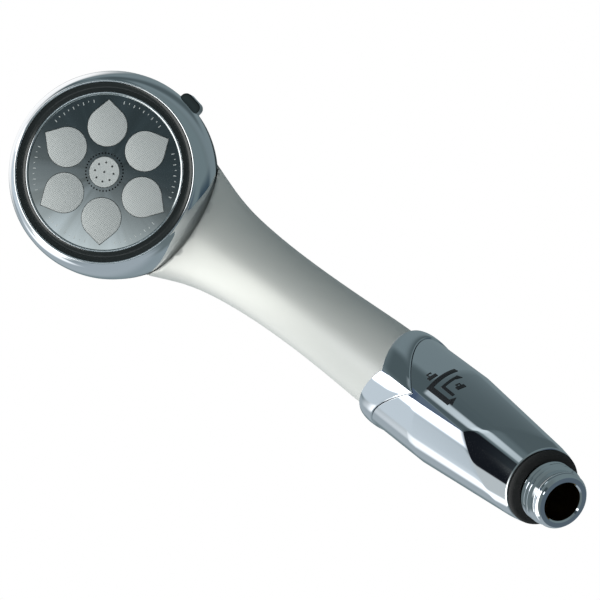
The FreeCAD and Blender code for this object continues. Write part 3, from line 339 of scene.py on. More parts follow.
def surface(name, base, metallic, roughness, spread=0.02, scale=900.0, bump=0.0, coat=0.0):
    """A material whose roughness and height come from the shared grain."""
    if name in bpy.data.materials:
        return bpy.data.materials[name]
    material = bpy.data.materials.new(name)
    material.use_nodes = True
    tree = material.node_tree
    shader = tree.nodes["Principled BSDF"]
    shader.inputs["Base Color"].default_value = (*base, 1)
    shader.inputs["Metallic"].default_value = metallic
    shader.inputs["Coat Weight"].default_value = coat
    shader.inputs["Coat Roughness"].default_value = 0.08
    where = add_node(tree, "ShaderNodeTexCoord")
    grain = add_node(tree, "ShaderNodeGroup", node_tree=fine_grain())
    grain.inputs["Scale"].default_value = scale
    grain.inputs["Roughness"].default_value = roughness
    grain.inputs["Spread"].default_value = spread
    tree.links.new(where.outputs["Object"], grain.inputs["Vector"])
    tree.links.new(grain.outputs["Roughness"], shader.inputs["Roughness"])
    if bump:
        relief = add_node(tree, "ShaderNodeBump")
        relief.inputs["Strength"].default_value = 1.0
        relief.inputs["Distance"].default_value = bump
        tree.links.new(grain.outputs["Height"], relief.inputs["Height"])
        tree.links.new(relief.outputs["Normal"], shader.inputs["Normal"])
    return material


def head_place(tree):
    """A Mapping node that gives a place in the head's own space."""
    where = add_node(tree, "ShaderNodeTexCoord")
    turn = add_node(tree, "ShaderNodeMapping", vector_type="POINT")
    inverse = HEAD.inverted()
    turn.inputs["Location"].default_value = inverse.to_translation()
    turn.inputs["Rotation"].default_value = inverse.to_euler()
    tree.links.new(where.outputs["Object"], turn.inputs["Vector"])
    return turn


def chrome():
    tones = finishes()
    return surface("bright_chrome", tones.chrome, 1.0, tones.chrome_roughness, spread=0.02, scale=500)


def satin():
    tones = finishes()
    return surface("satin_nickel", tones.satin, 0.9, tones.satin_roughness, spread=0.05, scale=2500, bump=4e-6,
                   coat=0.15)


def dark_gloss():
    return surface("dark_gloss", finishes().dark, 0.0, 0.05, spread=0.02, scale=700, coat=1.0)


def smoked_chrome():
    return surface("smoked_chrome", finishes().smoked, 1.0, 0.06, spread=0.03, scale=700)


def smoked_mirror():
    """Dark mirror steel, turned on a lathe, with its shine painted on: bright and dark reflection streaks in the
    base colour run out from its centre.
    """
    if "smoked_mirror" in bpy.data.materials:
        return bpy.data.materials["smoked_mirror"]
    material = surface("smoked_mirror", finishes().mirror, 1.0, 0.035, spread=0.02, scale=300)
    tree = material.node_tree
    place = head_place(tree)
    angle = add_node(tree, "ShaderNodeTexGradient", gradient_type="RADIAL")
    # Painted reflection: noise round the centre picks between a dark and a bright base colour, giving radial
    # highlight streaks in place of the turned plate's sheen.
    painted_reflection_streaks = add_node(tree, "ShaderNodeTexNoise", noise_dimensions="1D")
    painted_reflection_streaks.inputs["Scale"].default_value = 14
    painted_reflection_streaks.inputs["Detail"].default_value = 3
    painted_light_mix = add_node(tree, "ShaderNodeMix", data_type="RGBA")
    painted_light_mix.inputs["A"].default_value = (0.30, 0.31, 0.28, 1)
    painted_light_mix.inputs["B"].default_value = (0.82, 0.86, 0.87, 1)
    link = tree.links.new
    link(place.outputs["Vector"], angle.inputs["Vector"])
    link(angle.outputs["Fac"], painted_reflection_streaks.inputs["W"])
    link(painted_reflection_streaks.outputs["Fac"], painted_light_mix.inputs["Factor"])
    link(painted_light_mix.outputs["Result"], tree.nodes["Principled BSDF"].inputs["Base Color"])
    return material


def rubber():
    return surface("black_rubber", finishes().rubber, 0.0, 0.16, spread=0.08, scale=2500, bump=5e-6)


def ink():
    return surface("print_ink", finishes().print_ink, 0.0, 0.4)


def jet_steel():
    return surface("jet_steel", finishes().screen, 0.1, 0.42, spread=0.05, scale=1500)


def brass():
    return surface("bare_brass", (0.40, 0.30, 0.14), 1.0, 0.30, spread=0.1, scale=1200)


def dark_moulding():
    return surface("dark_moulding", (0.03, 0.03, 0.032), 0.0, 0.45, spread=0.08, scale=1500, bump=4e-6)


def moulded():
    return surface("moulded_plastic", (0.72, 0.73, 0.73), 0.0, 0.42, spread=0.08, scale=1500, bump=5e-6)


def bare_steel():
    return surface("bare_steel", (0.60, 0.60, 0.60), 1.0, 0.28, spread=0.08, scale=1800, bump=2e-6)


def perforated():
    """Matt steel with rows of mist holes, laid out in the head's own space: each hole is a shallow dent with painted
    shade, a darker base colour in it.
    """
    name = "mist_screen"
    if name in bpy.data.materials:
        return bpy.data.materials[name]
    material = surface(name, finishes().screen, 0.1, 0.45, spread=0.05, scale=1200)
    tree = material.node_tree
    shader = tree.nodes["Principled BSDF"]
    turn = head_place(tree)
    flat = add_node(tree, "ShaderNodeVectorMath", operation="MULTIPLY")
    flat.inputs[1].default_value = (1, 1, 0)
    cells = add_node(tree, "ShaderNodeTexVoronoi", voronoi_dimensions="2D")
    cells.inputs["Scale"].default_value = 1 / (0.65 * MM)
    cells.inputs["Randomness"].default_value = 0.0
    hole = add_node(tree, "ShaderNodeMapRange", interpolation_type="SMOOTHSTEP")
    hole.inputs["From Min"].default_value = 0.16
    hole.inputs["From Max"].default_value = 0.28
    # Painted shade: each hole gets a darker base colour for the shade inside it, mixed with the screen's own colour
    # around it.
    painted_light_mix = add_node(tree, "ShaderNodeMix", data_type="RGBA")
    painted_light_mix.inputs["A"].default_value = (0.30, 0.31, 0.31, 1)
    painted_light_mix.inputs["B"].default_value = (*finishes().screen, 1)
    relief = add_node(tree, "ShaderNodeBump")
    relief.inputs["Strength"].default_value = 0.6
    relief.inputs["Distance"].default_value = 0.1 * MM
    link = tree.links.new
    link(turn.outputs["Vector"], flat.inputs[0])
    link(flat.outputs[0], cells.inputs["Vector"])
    link(cells.outputs["Distance"], hole.inputs["Value"])
    link(hole.outputs["Result"], painted_light_mix.inputs["Factor"])
    link(painted_light_mix.outputs["Result"], shader.inputs["Base Color"])
    link(hole.outputs["Result"], relief.inputs["Height"])
    link(relief.outputs["Normal"], shader.inputs["Normal"])
    return material


# Head -------------------------------------------------------------------------------------------------------------

class SHOWER_OT_bezel(bpy.types.Operator):
    """Build the chrome bezel and the dark trim ring inside it."""
    bl_idname = "shower.bezel"
    bl_label = "Bezel"

    def execute(self, context):
        sizes = head_sizes()
        lip, rear, depth = sizes.lip_radius, sizes.bezel_radius, sizes.bezel_depth
        inside = lip - sizes.lip_width
        side = [(lip + (rear - lip) * math.sin(t * math.pi / 2) ** 0.9, -depth * t ** 1.35 * 0.985)
                for t in (0.04, 0.12, 0.22, 0.34, 0.48, 0.64, 0.82, 1.0)]
        outline = [(inside, -1.5 * MM), (inside, 0.3 * MM), (inside + 0.15 * MM, 0.5 * MM),
                   (lip - 0.45 * MM, 0.64 * MM), (lip - 0.12 * MM, 0.5 * MM), (lip, 0.25 * MM), *side, (rear - 0.35 * MM, -depth), (35 * MM, -depth), (35 * MM, -1.5 * MM)]
        finished("bezel", spun(outline, 192), HEAD, chrome(), "handle", ["bezel_ring"], sharp=50)
        trim = sizes.trim_radius
        plate = sizes.plate_radius + 0.1 * MM
        rim = plate + 0.75 * MM
        edge = [(plate, -0.5 * MM), (plate, 0.15 * MM), (plate + 0.1 * MM, 0.34 * MM), (plate + 0.3 * MM, 0.44 * MM),
                (rim - 0.2 * MM, 0.42 * MM), (rim, 0.25 * MM), (rim, -0.5 * MM)]
        finished("plate_rim", spun(edge, 192), HEAD, chrome(), "handle", sharp=50)
        dish = [(rim + (trim - rim) * share, (-0.75 * math.sin(math.pi * share) ** 0.8 + 0.1 * share) * MM)
                for share in steps_between(0.0, 1.0, 14)]
        shape = [(plate, -3 * MM), (plate, -0.6 * MM), (rim - 0.1 * MM, -0.6 * MM), *dish, (trim, -1.55 * MM),
                 (34.8 * MM, -1.6 * MM), (34.8 * MM, -3 * MM)]
        finished("trim", spun(shape, 192), HEAD, dark_gloss(), "handle", ["trim_ring"], sharp=50)
        return {"FINISHED"}


def petal_mesh(grow, low, high, tip_round=0.0):
    """One closed petal about +X: a round end whose tangents meet in the tip."""
    sizes = head_sizes()
    radius = sizes.petal_half + grow
    slope = math.acos(sizes.petal_half / (sizes.petal_tip - sizes.petal_mid))
    tip = sizes.petal_mid + radius / math.cos(slope)
    mesh = bmesh.new()
    start = mesh.verts.new((sizes.petal_mid + radius * math.cos(slope), radius * math.sin(slope), low))
    turned = bmesh.ops.spin(mesh, geom=[start], cent=(sizes.petal_mid, 0, 0), axis=(0, 0, 1),
                            angle=math.tau - 2 * slope, steps=40, use_merge=False)
    last = [item for item in turned["geom_last"] if isinstance(item, bmesh.types.BMVert)][0]
    point = mesh.verts.new((tip, 0, low))
    mesh.edges.new((last, point))
    mesh.edges.new((point, start))
    face = bmesh.ops.contextual_create(mesh, geom=mesh.edges[:])["faces"][0]
    top = bmesh.ops.extrude_face_region(mesh, geom=[face])
    bmesh.ops.translate(mesh, verts=[item for item in top["geom"] if isinstance(item, bmesh.types.BMVert)],
                        vec=(0, 0, high - low))
    bmesh.ops.recalc_face_normals(mesh, faces=mesh.faces)
    return mesh


def petal_turn(index):
    """Where a petal stands round the axis: one points straight down the handle."""
    return Matrix.Rotation(math.radians(60 * (index + 0.5)), 4, "Z")


class SHOWER_OT_face(bpy.types.Operator):
    """Build the mirror plate with its windows and fine holes, the six mist screens and the jet disc."""
    bl_idname = "shower.face"
    bl_label = "Spray face"

    def execute(self, context):
        sizes = head_sizes()
        top = -sizes.plate_drop
        low = top - sizes.plate_thick
        outline = [(0, low), (sizes.plate_radius, low), (sizes.plate_radius, top - 0.12 * MM),
                   (sizes.plate_radius - 0.12 * MM, top), (0, top)]
        plate = spun(outline, 160, closed=False)
        tools = [round_bar(sizes.disc_radius + sizes.petal_gap, low - MM, top + MM, steps=96)]
        for index in range(6):
            window = petal_mesh(sizes.petal_gap, low - MM, top + MM)
            window.transform(petal_turn(index))
            tools.append(window)
        for index in range(36):
            angle = math.tau * index / 36
            tools.append(round_bar(sizes.fine_hole, low - MM, top + MM, sizes.fine_circle * math.cos(angle),
                                   sizes.fine_circle * math.sin(angle), 12))
        finished("mirror_plate", cut_away(plate, joined(tools)), HEAD, smoked_mirror(), "handle", ["face_plate"],
                 sharp=30)
        ticks = []
        for gap in range(6):
            for step in range(-4, 5):
                tick = bmesh.new()
                reach = 0.55 if step % 2 else 1.1
                turn = Matrix.Rotation(math.radians(60 * gap + 4.4 * step), 4, "Z")
                spot = Matrix.Translation((sizes.petal_tip + (0.2 - reach / 2) * MM, 0, top))
                bmesh.ops.create_cube(tick, size=1, matrix=turn @ spot @ Matrix.Diagonal(
                    (reach * MM, 0.28 * MM, 0.05 * MM, 1)))
                ticks.append(tick)
        finished("rim_ticks", joined(ticks), HEAD, jet_steel(), "handle", sharp=30)
        for index in range(6):
            screen = petal_mesh(0, -sizes.screen_thick, 0)
            round_edges(screen, 0.12 * MM, over=50, segments=2)
            finished(f"mist_screen_{index + 1}", screen, HEAD @ petal_turn(index), perforated(), "handle",
                     [f"petal_screen_{index + 1}"], sharp=60)
        disc = spun([(0, -sizes.disc_thick), (sizes.disc_radius, -sizes.disc_thick),
                     (sizes.disc_radius, -0.15 * MM), (sizes.disc_radius - 0.15 * MM, 0), (0, 0)], 96, closed=False)
        holes = [round_bar(sizes.jet_hole, -2 * MM, MM, steps=16)]
        for index in range(8):
            angle = math.tau * (index + 0.5) / 8
            holes.append(round_bar(sizes.jet_hole, -2 * MM, MM, sizes.jet_circle * math.cos(angle),
                                   sizes.jet_circle * math.sin(angle), 16))
        finished("jet_disc", cut_away(disc, joined(holes)), HEAD,
                 jet_steel(), "handle", ["centre_disc"], sharp=30)
        return {"FINISHED"}


class SHOWER_OT_selector(bpy.types.Operator):
    """Build the chrome selector ring with its lever."""
    bl_idname = "shower.selector"
    bl_label = "Selector ring"

    def execute(self, context):
        mesh = merged_copy("selector_ring")
        finished("selector", mesh, UPRIGHT, smoked_chrome(), "selector", ["selector_ring"], sharp=25)
        return {"FINISHED"}


# Handle -----------------------------------------------------------------------------------------------------------

class SHOWER_OT_handle(bpy.types.Operator):
    """Build the satin handle and the back cover."""
    bl_idname = "shower.handle"
    bl_label = "Handle"

    def execute(self, context):
        finished("handle", merged_copy("handle_body"), UPRIGHT, satin(), "handle", ["handle_body"],
                 sharp=35)
        finished("cover", merged_copy("back_cover"), UPRIGHT, satin(), "handle", ["back_cover"],
                 sharp=35)
        return {"FINISHED"}


# Grip -------------------------------------------------------------------------------------------------------------

def facet_radius(turn, half, ridge):
    """Distance from the axis to two large rounds that meet in ridges in front and behind."""
    large = (half * half + ridge * ridge) / (2 * half)
    centre = half - large
    along = abs(math.cos(turn)) * centre
    return along + math.sqrt(along * along + large * large - centre * centre)


def flat_facets(turn, height):
    """The faceted form of the grip at a height."""
    sizes = grip_sizes()
    share = min(max((height - sizes.grip_start) / (sizes.taper_end - sizes.grip_start), 0), 1)
    half = sizes.facet_foot + (sizes.grip_half - sizes.facet_foot) * share
    ridge = sizes.ridge_foot + (sizes.ridge - sizes.ridge_foot) * share
    reach = facet_radius(turn, half, ridge)
    strip = sizes.spine * min(max((height - sizes.cusp_height) / (sizes.seam_front - sizes.cusp_height), 0), 1)
    if abs(math.cos(turn)) < 0.2 and strip > 0:
        edge = facet_radius(math.pi / 2 - strip / ridge, half, ridge) * math.cos(strip / ridge)
        reach = min(reach, (edge - 0.03 * MM * strip / sizes.spine) / abs(math.sin(turn)))
    return reach


def round_cone(height):
    """The round cone towards the nose."""
    sizes = grip_sizes()
    top = sizes.cusp_height
    reach = flat_facets(math.pi / 2, top)
    return sizes.grip_end + (reach - sizes.grip_end) * (height - sizes.grip_start) / (top - sizes.grip_start)


def seam(turn, front, rise):
    """Height of an edge that rises from both ridges to both sides."""
    sizes = grip_sizes()
    reach = facet_radius(turn, sizes.grip_half, sizes.ridge)
    return front + rise * abs(math.cos(turn)) * reach / sizes.grip_half


def edge_of_cone(turn):
    """Height where the cone gives way to the facets."""
    low, high = grip_sizes().grip_start, grip_sizes().cusp_height + 2 * MM
    for _ in range(30):
        middle = (low + high) / 2
        if round_cone(middle) < flat_facets(turn, middle):
            low = middle
        else:
            high = middle
    return low


def sleeve(rows, inner_low, inner_high, columns=240):
    """A closed sleeve: rows of (height, radius) at each turn outside, round inside."""
    mesh = bmesh.new()
    made = bmesh.ops.create_circle(mesh, cap_ends=False, segments=columns, radius=1)["verts"]
    turns = [math.atan2(vert.co.y, vert.co.x) for vert in made]
    turns = [turn + 0.35 * math.sin(2 * turn) for turn in turns]
    paths = [rows(turn) for turn in turns]
    count = len(paths[0])
    rings = [made]
    edges = list({edge for vert in made for edge in vert.link_edges})
    for _ in range(count + 1):
        grown = bmesh.ops.extrude_edge_only(mesh, edges=edges)["geom"]
        edges = [item for item in grown if isinstance(item, bmesh.types.BMEdge)
                 and all(vert in grown for vert in item.verts)]
        fresh = {item for item in grown if isinstance(item, bmesh.types.BMVert)}
        previous = rings[-1]
        rings.append([next(edge.other_vert(vert) for edge in vert.link_edges if edge.other_vert(vert) in fresh)
                      for vert in previous])
    for column, (turn, path) in enumerate(zip(turns, paths)):
        spots = [(path[0][0], inner_low), *path, (path[-1][0], inner_high)]
        for ring, (height, radius) in zip(rings, spots):
            ring[column].co = (radius * math.cos(turn), radius * math.sin(turn), height)
    bmesh.ops.bridge_loops(mesh, edges=edges + [edge for edge in mesh.edges
                                                 if edge.verts[0] in rings[0] and edge.verts[1] in rings[0]])
    bmesh.ops.recalc_face_normals(mesh, faces=mesh.faces)
    return mesh


def on_facet(mesh, lift=0.16 * MM):
    """Wrap a flat mark on the facet: X is the way round from the ridge, Y the height, Z the thickness."""
    for vert in mesh.verts:
        turn = vert.co.x / grip_sizes().grip_half - math.pi / 2
        reach = flat_facets(turn, vert.co.y) + (lift if vert.co.z > 0 else -lift)
        vert.co = (reach * math.cos(turn), reach * math.sin(turn), vert.co.y)
    bmesh.ops.recalc_face_normals(mesh, faces=mesh.faces)
    return mesh


def stroke(start, end, width):
    """A straight stroke between two points of a flat mark."""
    start, end = Vector((*start, 0)) * MM, Vector((*end, 0)) * MM
    along = end - start
    mesh = bmesh.new()
    spin = Matrix.Rotation(math.atan2(along.y, along.x), 4, "Z")
    scale = Matrix.Diagonal((along.length + width * MM, width * MM, MM, 1))
    bmesh.ops.create_cube(mesh, size=1, matrix=Matrix.Translation((start + end) / 2) @ spin @ scale)
    bmesh.ops.subdivide_edges(mesh, edges=[edge for edge in mesh.edges if edge.calc_length() > 1.5 * MM], cuts=12,
                              use_grid_fill=True)
    return mesh


def head_of_arrow(tip, turn, size):
    """A small three-sided arrow head."""
    mesh = bmesh.new()
    place = Matrix.Translation(Vector((*tip, 0)) * MM) @ Matrix.Rotation(math.radians(turn), 4, "Z")
    bmesh.ops.create_cone(mesh, cap_ends=True, segments=3, radius1=size * MM, radius2=size * MM, depth=MM,
                          matrix=place)
    return mesh


def padlock(x, y, opened):
    """A small padlock: a body and a bow, swung up when it is open."""
    parts = [stroke((x - 0.85, y), (x + 0.85, y), 1.7)]
    lift = 0.6 if opened else 0
    parts.append(stroke((x - 0.65, y + 0.7), (x - 0.65, y + 2.0 + lift), 0.36))
    parts.append(stroke((x - 0.75, y + 2.0 + lift), (x + 0.75, y + 2.0 + lift), 0.36))
    parts.append(stroke((x + 0.65, y + (1.5 + lift if opened else 0.7)), (x + 0.65, y + 2.0 + lift), 0.36))
    return parts


def twist_marks():
    """Two bent arrows with padlocks: how the grip turns and then slides."""
    parts = [stroke((4.9, 68.2), (15.9, 70.6), 1.9), stroke((4.9, 68.2), (4.9, 57.0), 1.9),
             head_of_arrow((5.9, 56.2), -90, 2.1),
             stroke((8.0, 64.6), (14.2, 66.2), 1.1), stroke((8.0, 64.6), (8.0, 58.6), 1.1),
             head_of_arrow((14.9, 65.9), 0, 1.4)]
    parts += padlock(8.4, 72.2, True) + padlock(12.4, 60.2, False)
    return on_facet(joined(parts))


def steps_between(low, high, count):
    """Heights from low up to high, both included."""
    return [low + (high - low) * index / count for index in range(count + 1)]


class SHOWER_OT_grip(bpy.types.Operator):
    """Build the chrome grip shell and the collar."""
    bl_idname = "shower.grip"
    bl_label = "Grip"

    def execute(self, context):
        sizes = grip_sizes()
        round_over = 0.45 * MM
        gap = 0.16 * MM

        def shell_rows(turn):
            change = edge_of_cone(turn)
            top = seam(turn, sizes.seam_front, sizes.seam_rise) - gap
            start = sizes.grip_start
            path = [(start, round_cone(start) - round_over), (start + 0.1 * MM, round_cone(start) - 0.15 * MM)]
            path += [(height, round_cone(height)) for height in
                     steps_between(start + round_over, max(change - round_over, start + 1.2 * round_over), 10)]
            path.append((change, (round_cone(change) + flat_facets(turn, change)) / 2 - 0.012 * MM))
            path += [(height, flat_facets(turn, height)) for height in
                     steps_between(change + round_over, sizes.taper_end, 14)]
            path += [(height, flat_facets(turn, height)) for height in
                     steps_between(sizes.taper_end + MM, top - 0.35 * MM, 6)]
            path += [(top - 0.1 * MM, flat_facets(turn, top) - 0.08 * MM), (top, flat_facets(turn, top) - 0.3 * MM)]
            return path

        def collar_rows(turn):
            proud = sizes.collar_proud
            low = seam(turn, sizes.seam_front, sizes.seam_rise) + gap
            high = seam(turn, sizes.edge_front, sizes.edge_rise)
            reach = facet_radius(turn, sizes.grip_half, sizes.ridge)
            flare = [(share, proud * (1 - 0.5 * abs(1 - 2 * share) ** 3)) for share in steps_between(0.03, 0.97, 12)]
            path = [(low, reach - 0.3 * MM), (low + 0.12 * MM, reach + 0.2 * proud)]
            path += [(low + (high - low) * share, reach + out) for share, out in flare]
            path += [(high - 0.08 * MM, reach + 0.3 * proud), (high, reach - 0.2 * MM)]
            return path

        finished("grip", sleeve(shell_rows, sizes.grip_bore_low, sizes.sleeve), UPRIGHT, chrome(), "grip",
                 ["grip_shell"], sharp=6)
        finished("twist_marks", twist_marks(), UPRIGHT, ink(), "grip", sharp=30)
        finished("collar_band", sleeve(collar_rows, sizes.sleeve, sizes.sleeve), UPRIGHT, chrome(), "grip",
                 ["collar"], sharp=6)
        return {"FINISHED"}


class SHOWER_OT_nose(bpy.types.Operator):
    """Build the threaded nose and its black shoulder seal."""
    bl_idname = "shower.nose"
    bl_label = "Hose nose"

    def execute(self, context):
        sizes = grip_sizes()
        start, end = sizes.thread_start, sizes.thread_end
        core = [(sizes.bore_radius, 37 * MM), (sizes.bore_radius, 0.5 * MM), (sizes.bore_radius + 0.5 * MM, 0),
                (sizes.rim_radius - 0.2 * MM, 0), (sizes.rim_radius, 0.15 * MM),
                (sizes.neck_radius - 0.15 * MM, 1.0 * MM), (sizes.neck_radius, 1.4 * MM),
                (sizes.neck_radius, start - 1.6 * MM), (sizes.thread_root, start - 0.9 * MM),
                (sizes.thread_root, 13.7 * MM), (10.9 * MM, 13.7 * MM), (10.9 * MM, 37 * MM)]
        nose = spun(core, 128)
        pitch = sizes.thread_pitch
        turns = (end - start) / pitch
        steps = int(turns * 72)
        tooth = bmesh.new()
        low = sizes.thread_root - 0.1 * MM
        crest = sizes.thread_radius
        profile = [(low, -0.48), (crest - 0.16 * MM, -0.15), (crest, -0.06), (crest, 0.06),
                   (crest - 0.16 * MM, 0.15), (low, 0.48)]
        spots = [tooth.verts.new((radius, 0, start + height * pitch)) for radius, height in profile]
        edges = [tooth.edges.new((spots[index], spots[index + 1])) for index in range(len(spots) - 1)]
        edges.append(tooth.edges.new((spots[-1], spots[0])))
        cap = tooth.faces.new(spots)
        bmesh.ops.spin(tooth, geom=[cap] + spots + edges, cent=(0, 0, 0), axis=(0, 0, 1), angle=math.tau * turns,
                       dvec=(0, 0, (end - start) / steps), steps=steps, use_merge=False)
        bmesh.ops.recalc_face_normals(tooth, faces=tooth.faces)
        item = finished("nose", joined([nose, tooth]), UPRIGHT, chrome(), "grip", ["inlet_nipple"],
                        sharp=35)
        item.data.materials.append(brass())
        for face in item.data.polygons:
            if face.center.xy.length < sizes.bore_radius + 0.02 * MM:
                face.material_index = 1
        low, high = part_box("shoulder_ring")
        outer, inner, thick = half_width("shoulder_ring"), 9.75 * MM, high.z - low.z
        round_side = [(outer - thick / 2 + math.cos(turn) * thick / 2, (low.z + high.z) / 2 + math.sin(turn) * thick / 2)
                      for turn in (math.radians(step) for step in range(-90, 91, 15))]
        seal = spun([(inner, low.z), *round_side, (inner, high.z)], 128)
        finished("shoulder_seal", seal, UPRIGHT, rubber(), "grip", ["shoulder_ring"], sharp=50)
        return {"FINISHED"}


INSIDE = {
    "dark": ("flow_limiter", "inlet_strainer"),
    "moulded": ("spray_manifold", "manifold_back", "diverter_disc", "valve_seat", "water_tube", "bayonet_socket",
                "bayonet_plug", "centre_post", "detent_cup", "cartridge_foot_cap",
                "cartridge_top_cap", "cartridge_tube", "filter_media"),
    "rubber": ("plug_o_ring", "tube_o_ring", "manifold_gasket", "diverter_seal"),
    "steel": ("face_screws", "centre_screw", "seat_screws", "detent_ball", "detent_spring"),
}


class SHOWER_OT_inside(bpy.types.Operator):
    """Give the pieces inside their finishes."""
    bl_idname = "shower.inside"
    bl_label = "Inner pieces"

    def execute(self, context):
        kinds = {"dark": dark_moulding(), "moulded": moulded(), "rubber": rubber(), "steel": bare_steel()}
        for kind, nodes in INSIDE.items():
            for node in nodes:
                data = frame["nodes"][node].data
                data.materials.clear()
                data.materials.append(kinds[kind])
        return {"FINISHED"}


# Stage ------------------------------------------------------------------------------------------------------------

class SHOWER_OT_stage(bpy.types.Operator):
    """Set the floor, the soft light and the camera."""
    bl_idname = "shower.stage"
    bl_label = "Stage"

    def execute(self, context):
        scene = context.scene
        scene.view_settings.view_transform = "Standard"
        floor = bmesh.new()
        bmesh.ops.create_grid(floor, x_segments=1, y_segments=1, size=6, matrix=Matrix.Translation((0, 0, -1.3)))
        ground = loose_object("floor", floor)
        ground.data.materials.append(surface("pale_floor", finishes().floor, 0.0, 0.7, spread=0.02, scale=3))
        ground.visible_glossy = False
        studio_world(scene)
        camera = bpy.data.cameras.new("camera")
        camera.sensor_width = 36
        camera.lens = 36 * 3316 / 600
        eye = bpy.data.objects.new("camera", camera)
        right, down, ahead = CAMERA_AXES
        eye.matrix_world = Matrix.Translation(CAMERA_PLACE) @ Matrix((right, -down, -ahead)).transposed().to_4x4()
        scene.collection.objects.link(eye)
        scene.camera = eye
        return {"FINISHED"}


CAMERA_PLACE = Vector((0.0644, -0.7300, -0.8119))
CAMERA_AXES = (Vector((0.5502, 0.6900, -0.4703)), Vector((-0.8334, 0.4188, -0.3607)),
               Vector((-0.0519, 0.5904, 0.8055)))


def panel_group():
    """Shared group: one soft panel over what lies below it, by compass and height."""
    name = "soft_panel"
    if name in bpy.data.node_groups:
        return bpy.data.node_groups[name]
    tree = bpy.data.node_groups.new(name, "ShaderNodeTree")
    tree.interface.new_socket(name="Below", in_out="INPUT", socket_type="NodeSocketColor")
    tree.interface.new_socket(name="Panel", in_out="INPUT", socket_type="NodeSocketColor")
    tree.interface.new_socket(name="View", in_out="INPUT", socket_type="NodeSocketVector")
    tree.interface.new_socket(name="Compass", in_out="INPUT", socket_type="NodeSocketVector")
    for title in ("Side out", "Side in", "Low out", "Low in", "High in", "High out"):
        tree.interface.new_socket(name=title, in_out="INPUT", socket_type="NodeSocketFloat")
    tree.interface.new_socket(name="Color", in_out="OUTPUT", socket_type="NodeSocketColor")
    inputs = add_node(tree, "NodeGroupInput")
    outputs = add_node(tree, "NodeGroupOutput")
    link = tree.links.new
    level = add_node(tree, "ShaderNodeVectorMath", operation="MULTIPLY")
    level.inputs[1].default_value = (1, 1, 0)
    unit = add_node(tree, "ShaderNodeVectorMath", operation="NORMALIZE")
    facing = add_node(tree, "ShaderNodeVectorMath", operation="DOT_PRODUCT")
    parts = add_node(tree, "ShaderNodeSeparateXYZ")
    link(inputs.outputs["View"], level.inputs[0])
    link(level.outputs[0], unit.inputs[0])
    link(unit.outputs[0], facing.inputs[0])
    link(inputs.outputs["Compass"], facing.inputs[1])
    link(inputs.outputs["View"], parts.inputs[0])
    factor = None
    for source, start, end in ((facing.outputs["Value"], "Side out", "Side in"), (parts.outputs["Z"], "Low out", "Low in"),
                               (parts.outputs["Z"], "High out", "High in")):
        window = add_node(tree, "ShaderNodeMapRange", interpolation_type="SMOOTHSTEP")
        link(source, window.inputs["Value"])
        link(inputs.outputs[start], window.inputs["From Min"])
        link(inputs.outputs[end], window.inputs["From Max"])
        if factor is None:
            factor = window.outputs["Result"]
            continue
        both = add_node(tree, "ShaderNodeMath", operation="MULTIPLY")
        link(factor, both.inputs[0])
        link(window.outputs["Result"], both.inputs[1])
        factor = both.outputs[0]
    mix = add_node(tree, "ShaderNodeMix", data_type="RGBA")
    link(factor, mix.inputs["Factor"])
    link(inputs.outputs["Below"], mix.inputs["A"])
    link(inputs.outputs["Panel"], mix.inputs["B"])
    link(mix.outputs["Result"], outputs.inputs["Color"])
    return tree


# Soft panels of the studio: compass from +X, half width, low, high, softness, all in degrees, then the light.
PANELS = (
    (30, 190, 12, 66, 12, (0.19, 0.245, 0.265)),
    (20, 62, -48, 8, 10, (0.17, 0.225, 0.24)),
    (84, 18, -20, 14, 6, (0.045, 0.075, 0.10)),
    (70, 28, -75, -47, 6, (0.06, 0.09, 0.14)),
    (5, 48, 30, 47, 6, (0.085, 0.115, 0.125)),
    (120, 24, -20, 40, 10, (0.27, 0.33, 0.36)),
    (150, 22, -40, 66, 9, (0.38, 0.44, 0.48)),
    (174, 14, 16, 50, 6, (1.3, 1.35, 1.4)),
    (-62, 24, 34, 62, 9, (0.08, 0.11, 0.12)),
    (-141, 42, -10, 31, 4, (3.1, 3.15, 3.1)),
    (-157, 23, 31, 42, 3, (0.55, 0.60, 0.62)),
    (-150, 30, 41, 66, 4, (0.62, 0.70, 0.76)),
    (-114, 13, 42, 66, 4, (2.6, 2.7, 2.9)),
    (-98, 3, 40, 60, 2, (0.05, 0.08, 0.16)),
    (-108, 30, 32, 40, 2, (0.008, 0.010, 0.014)),
    (-66, 6, 33, 43, 3, (0.75, 0.85, 0.90)),
    (0, 190, 66, 95, 6, (1.1, 1.1, 1.1)),
    (-93, 16, -52, -18, 4, (0.05, 0.07, 0.08)),
    (-101, 5, -44, -31.5, 3, (2.2, 2.4, 2.5)),
)


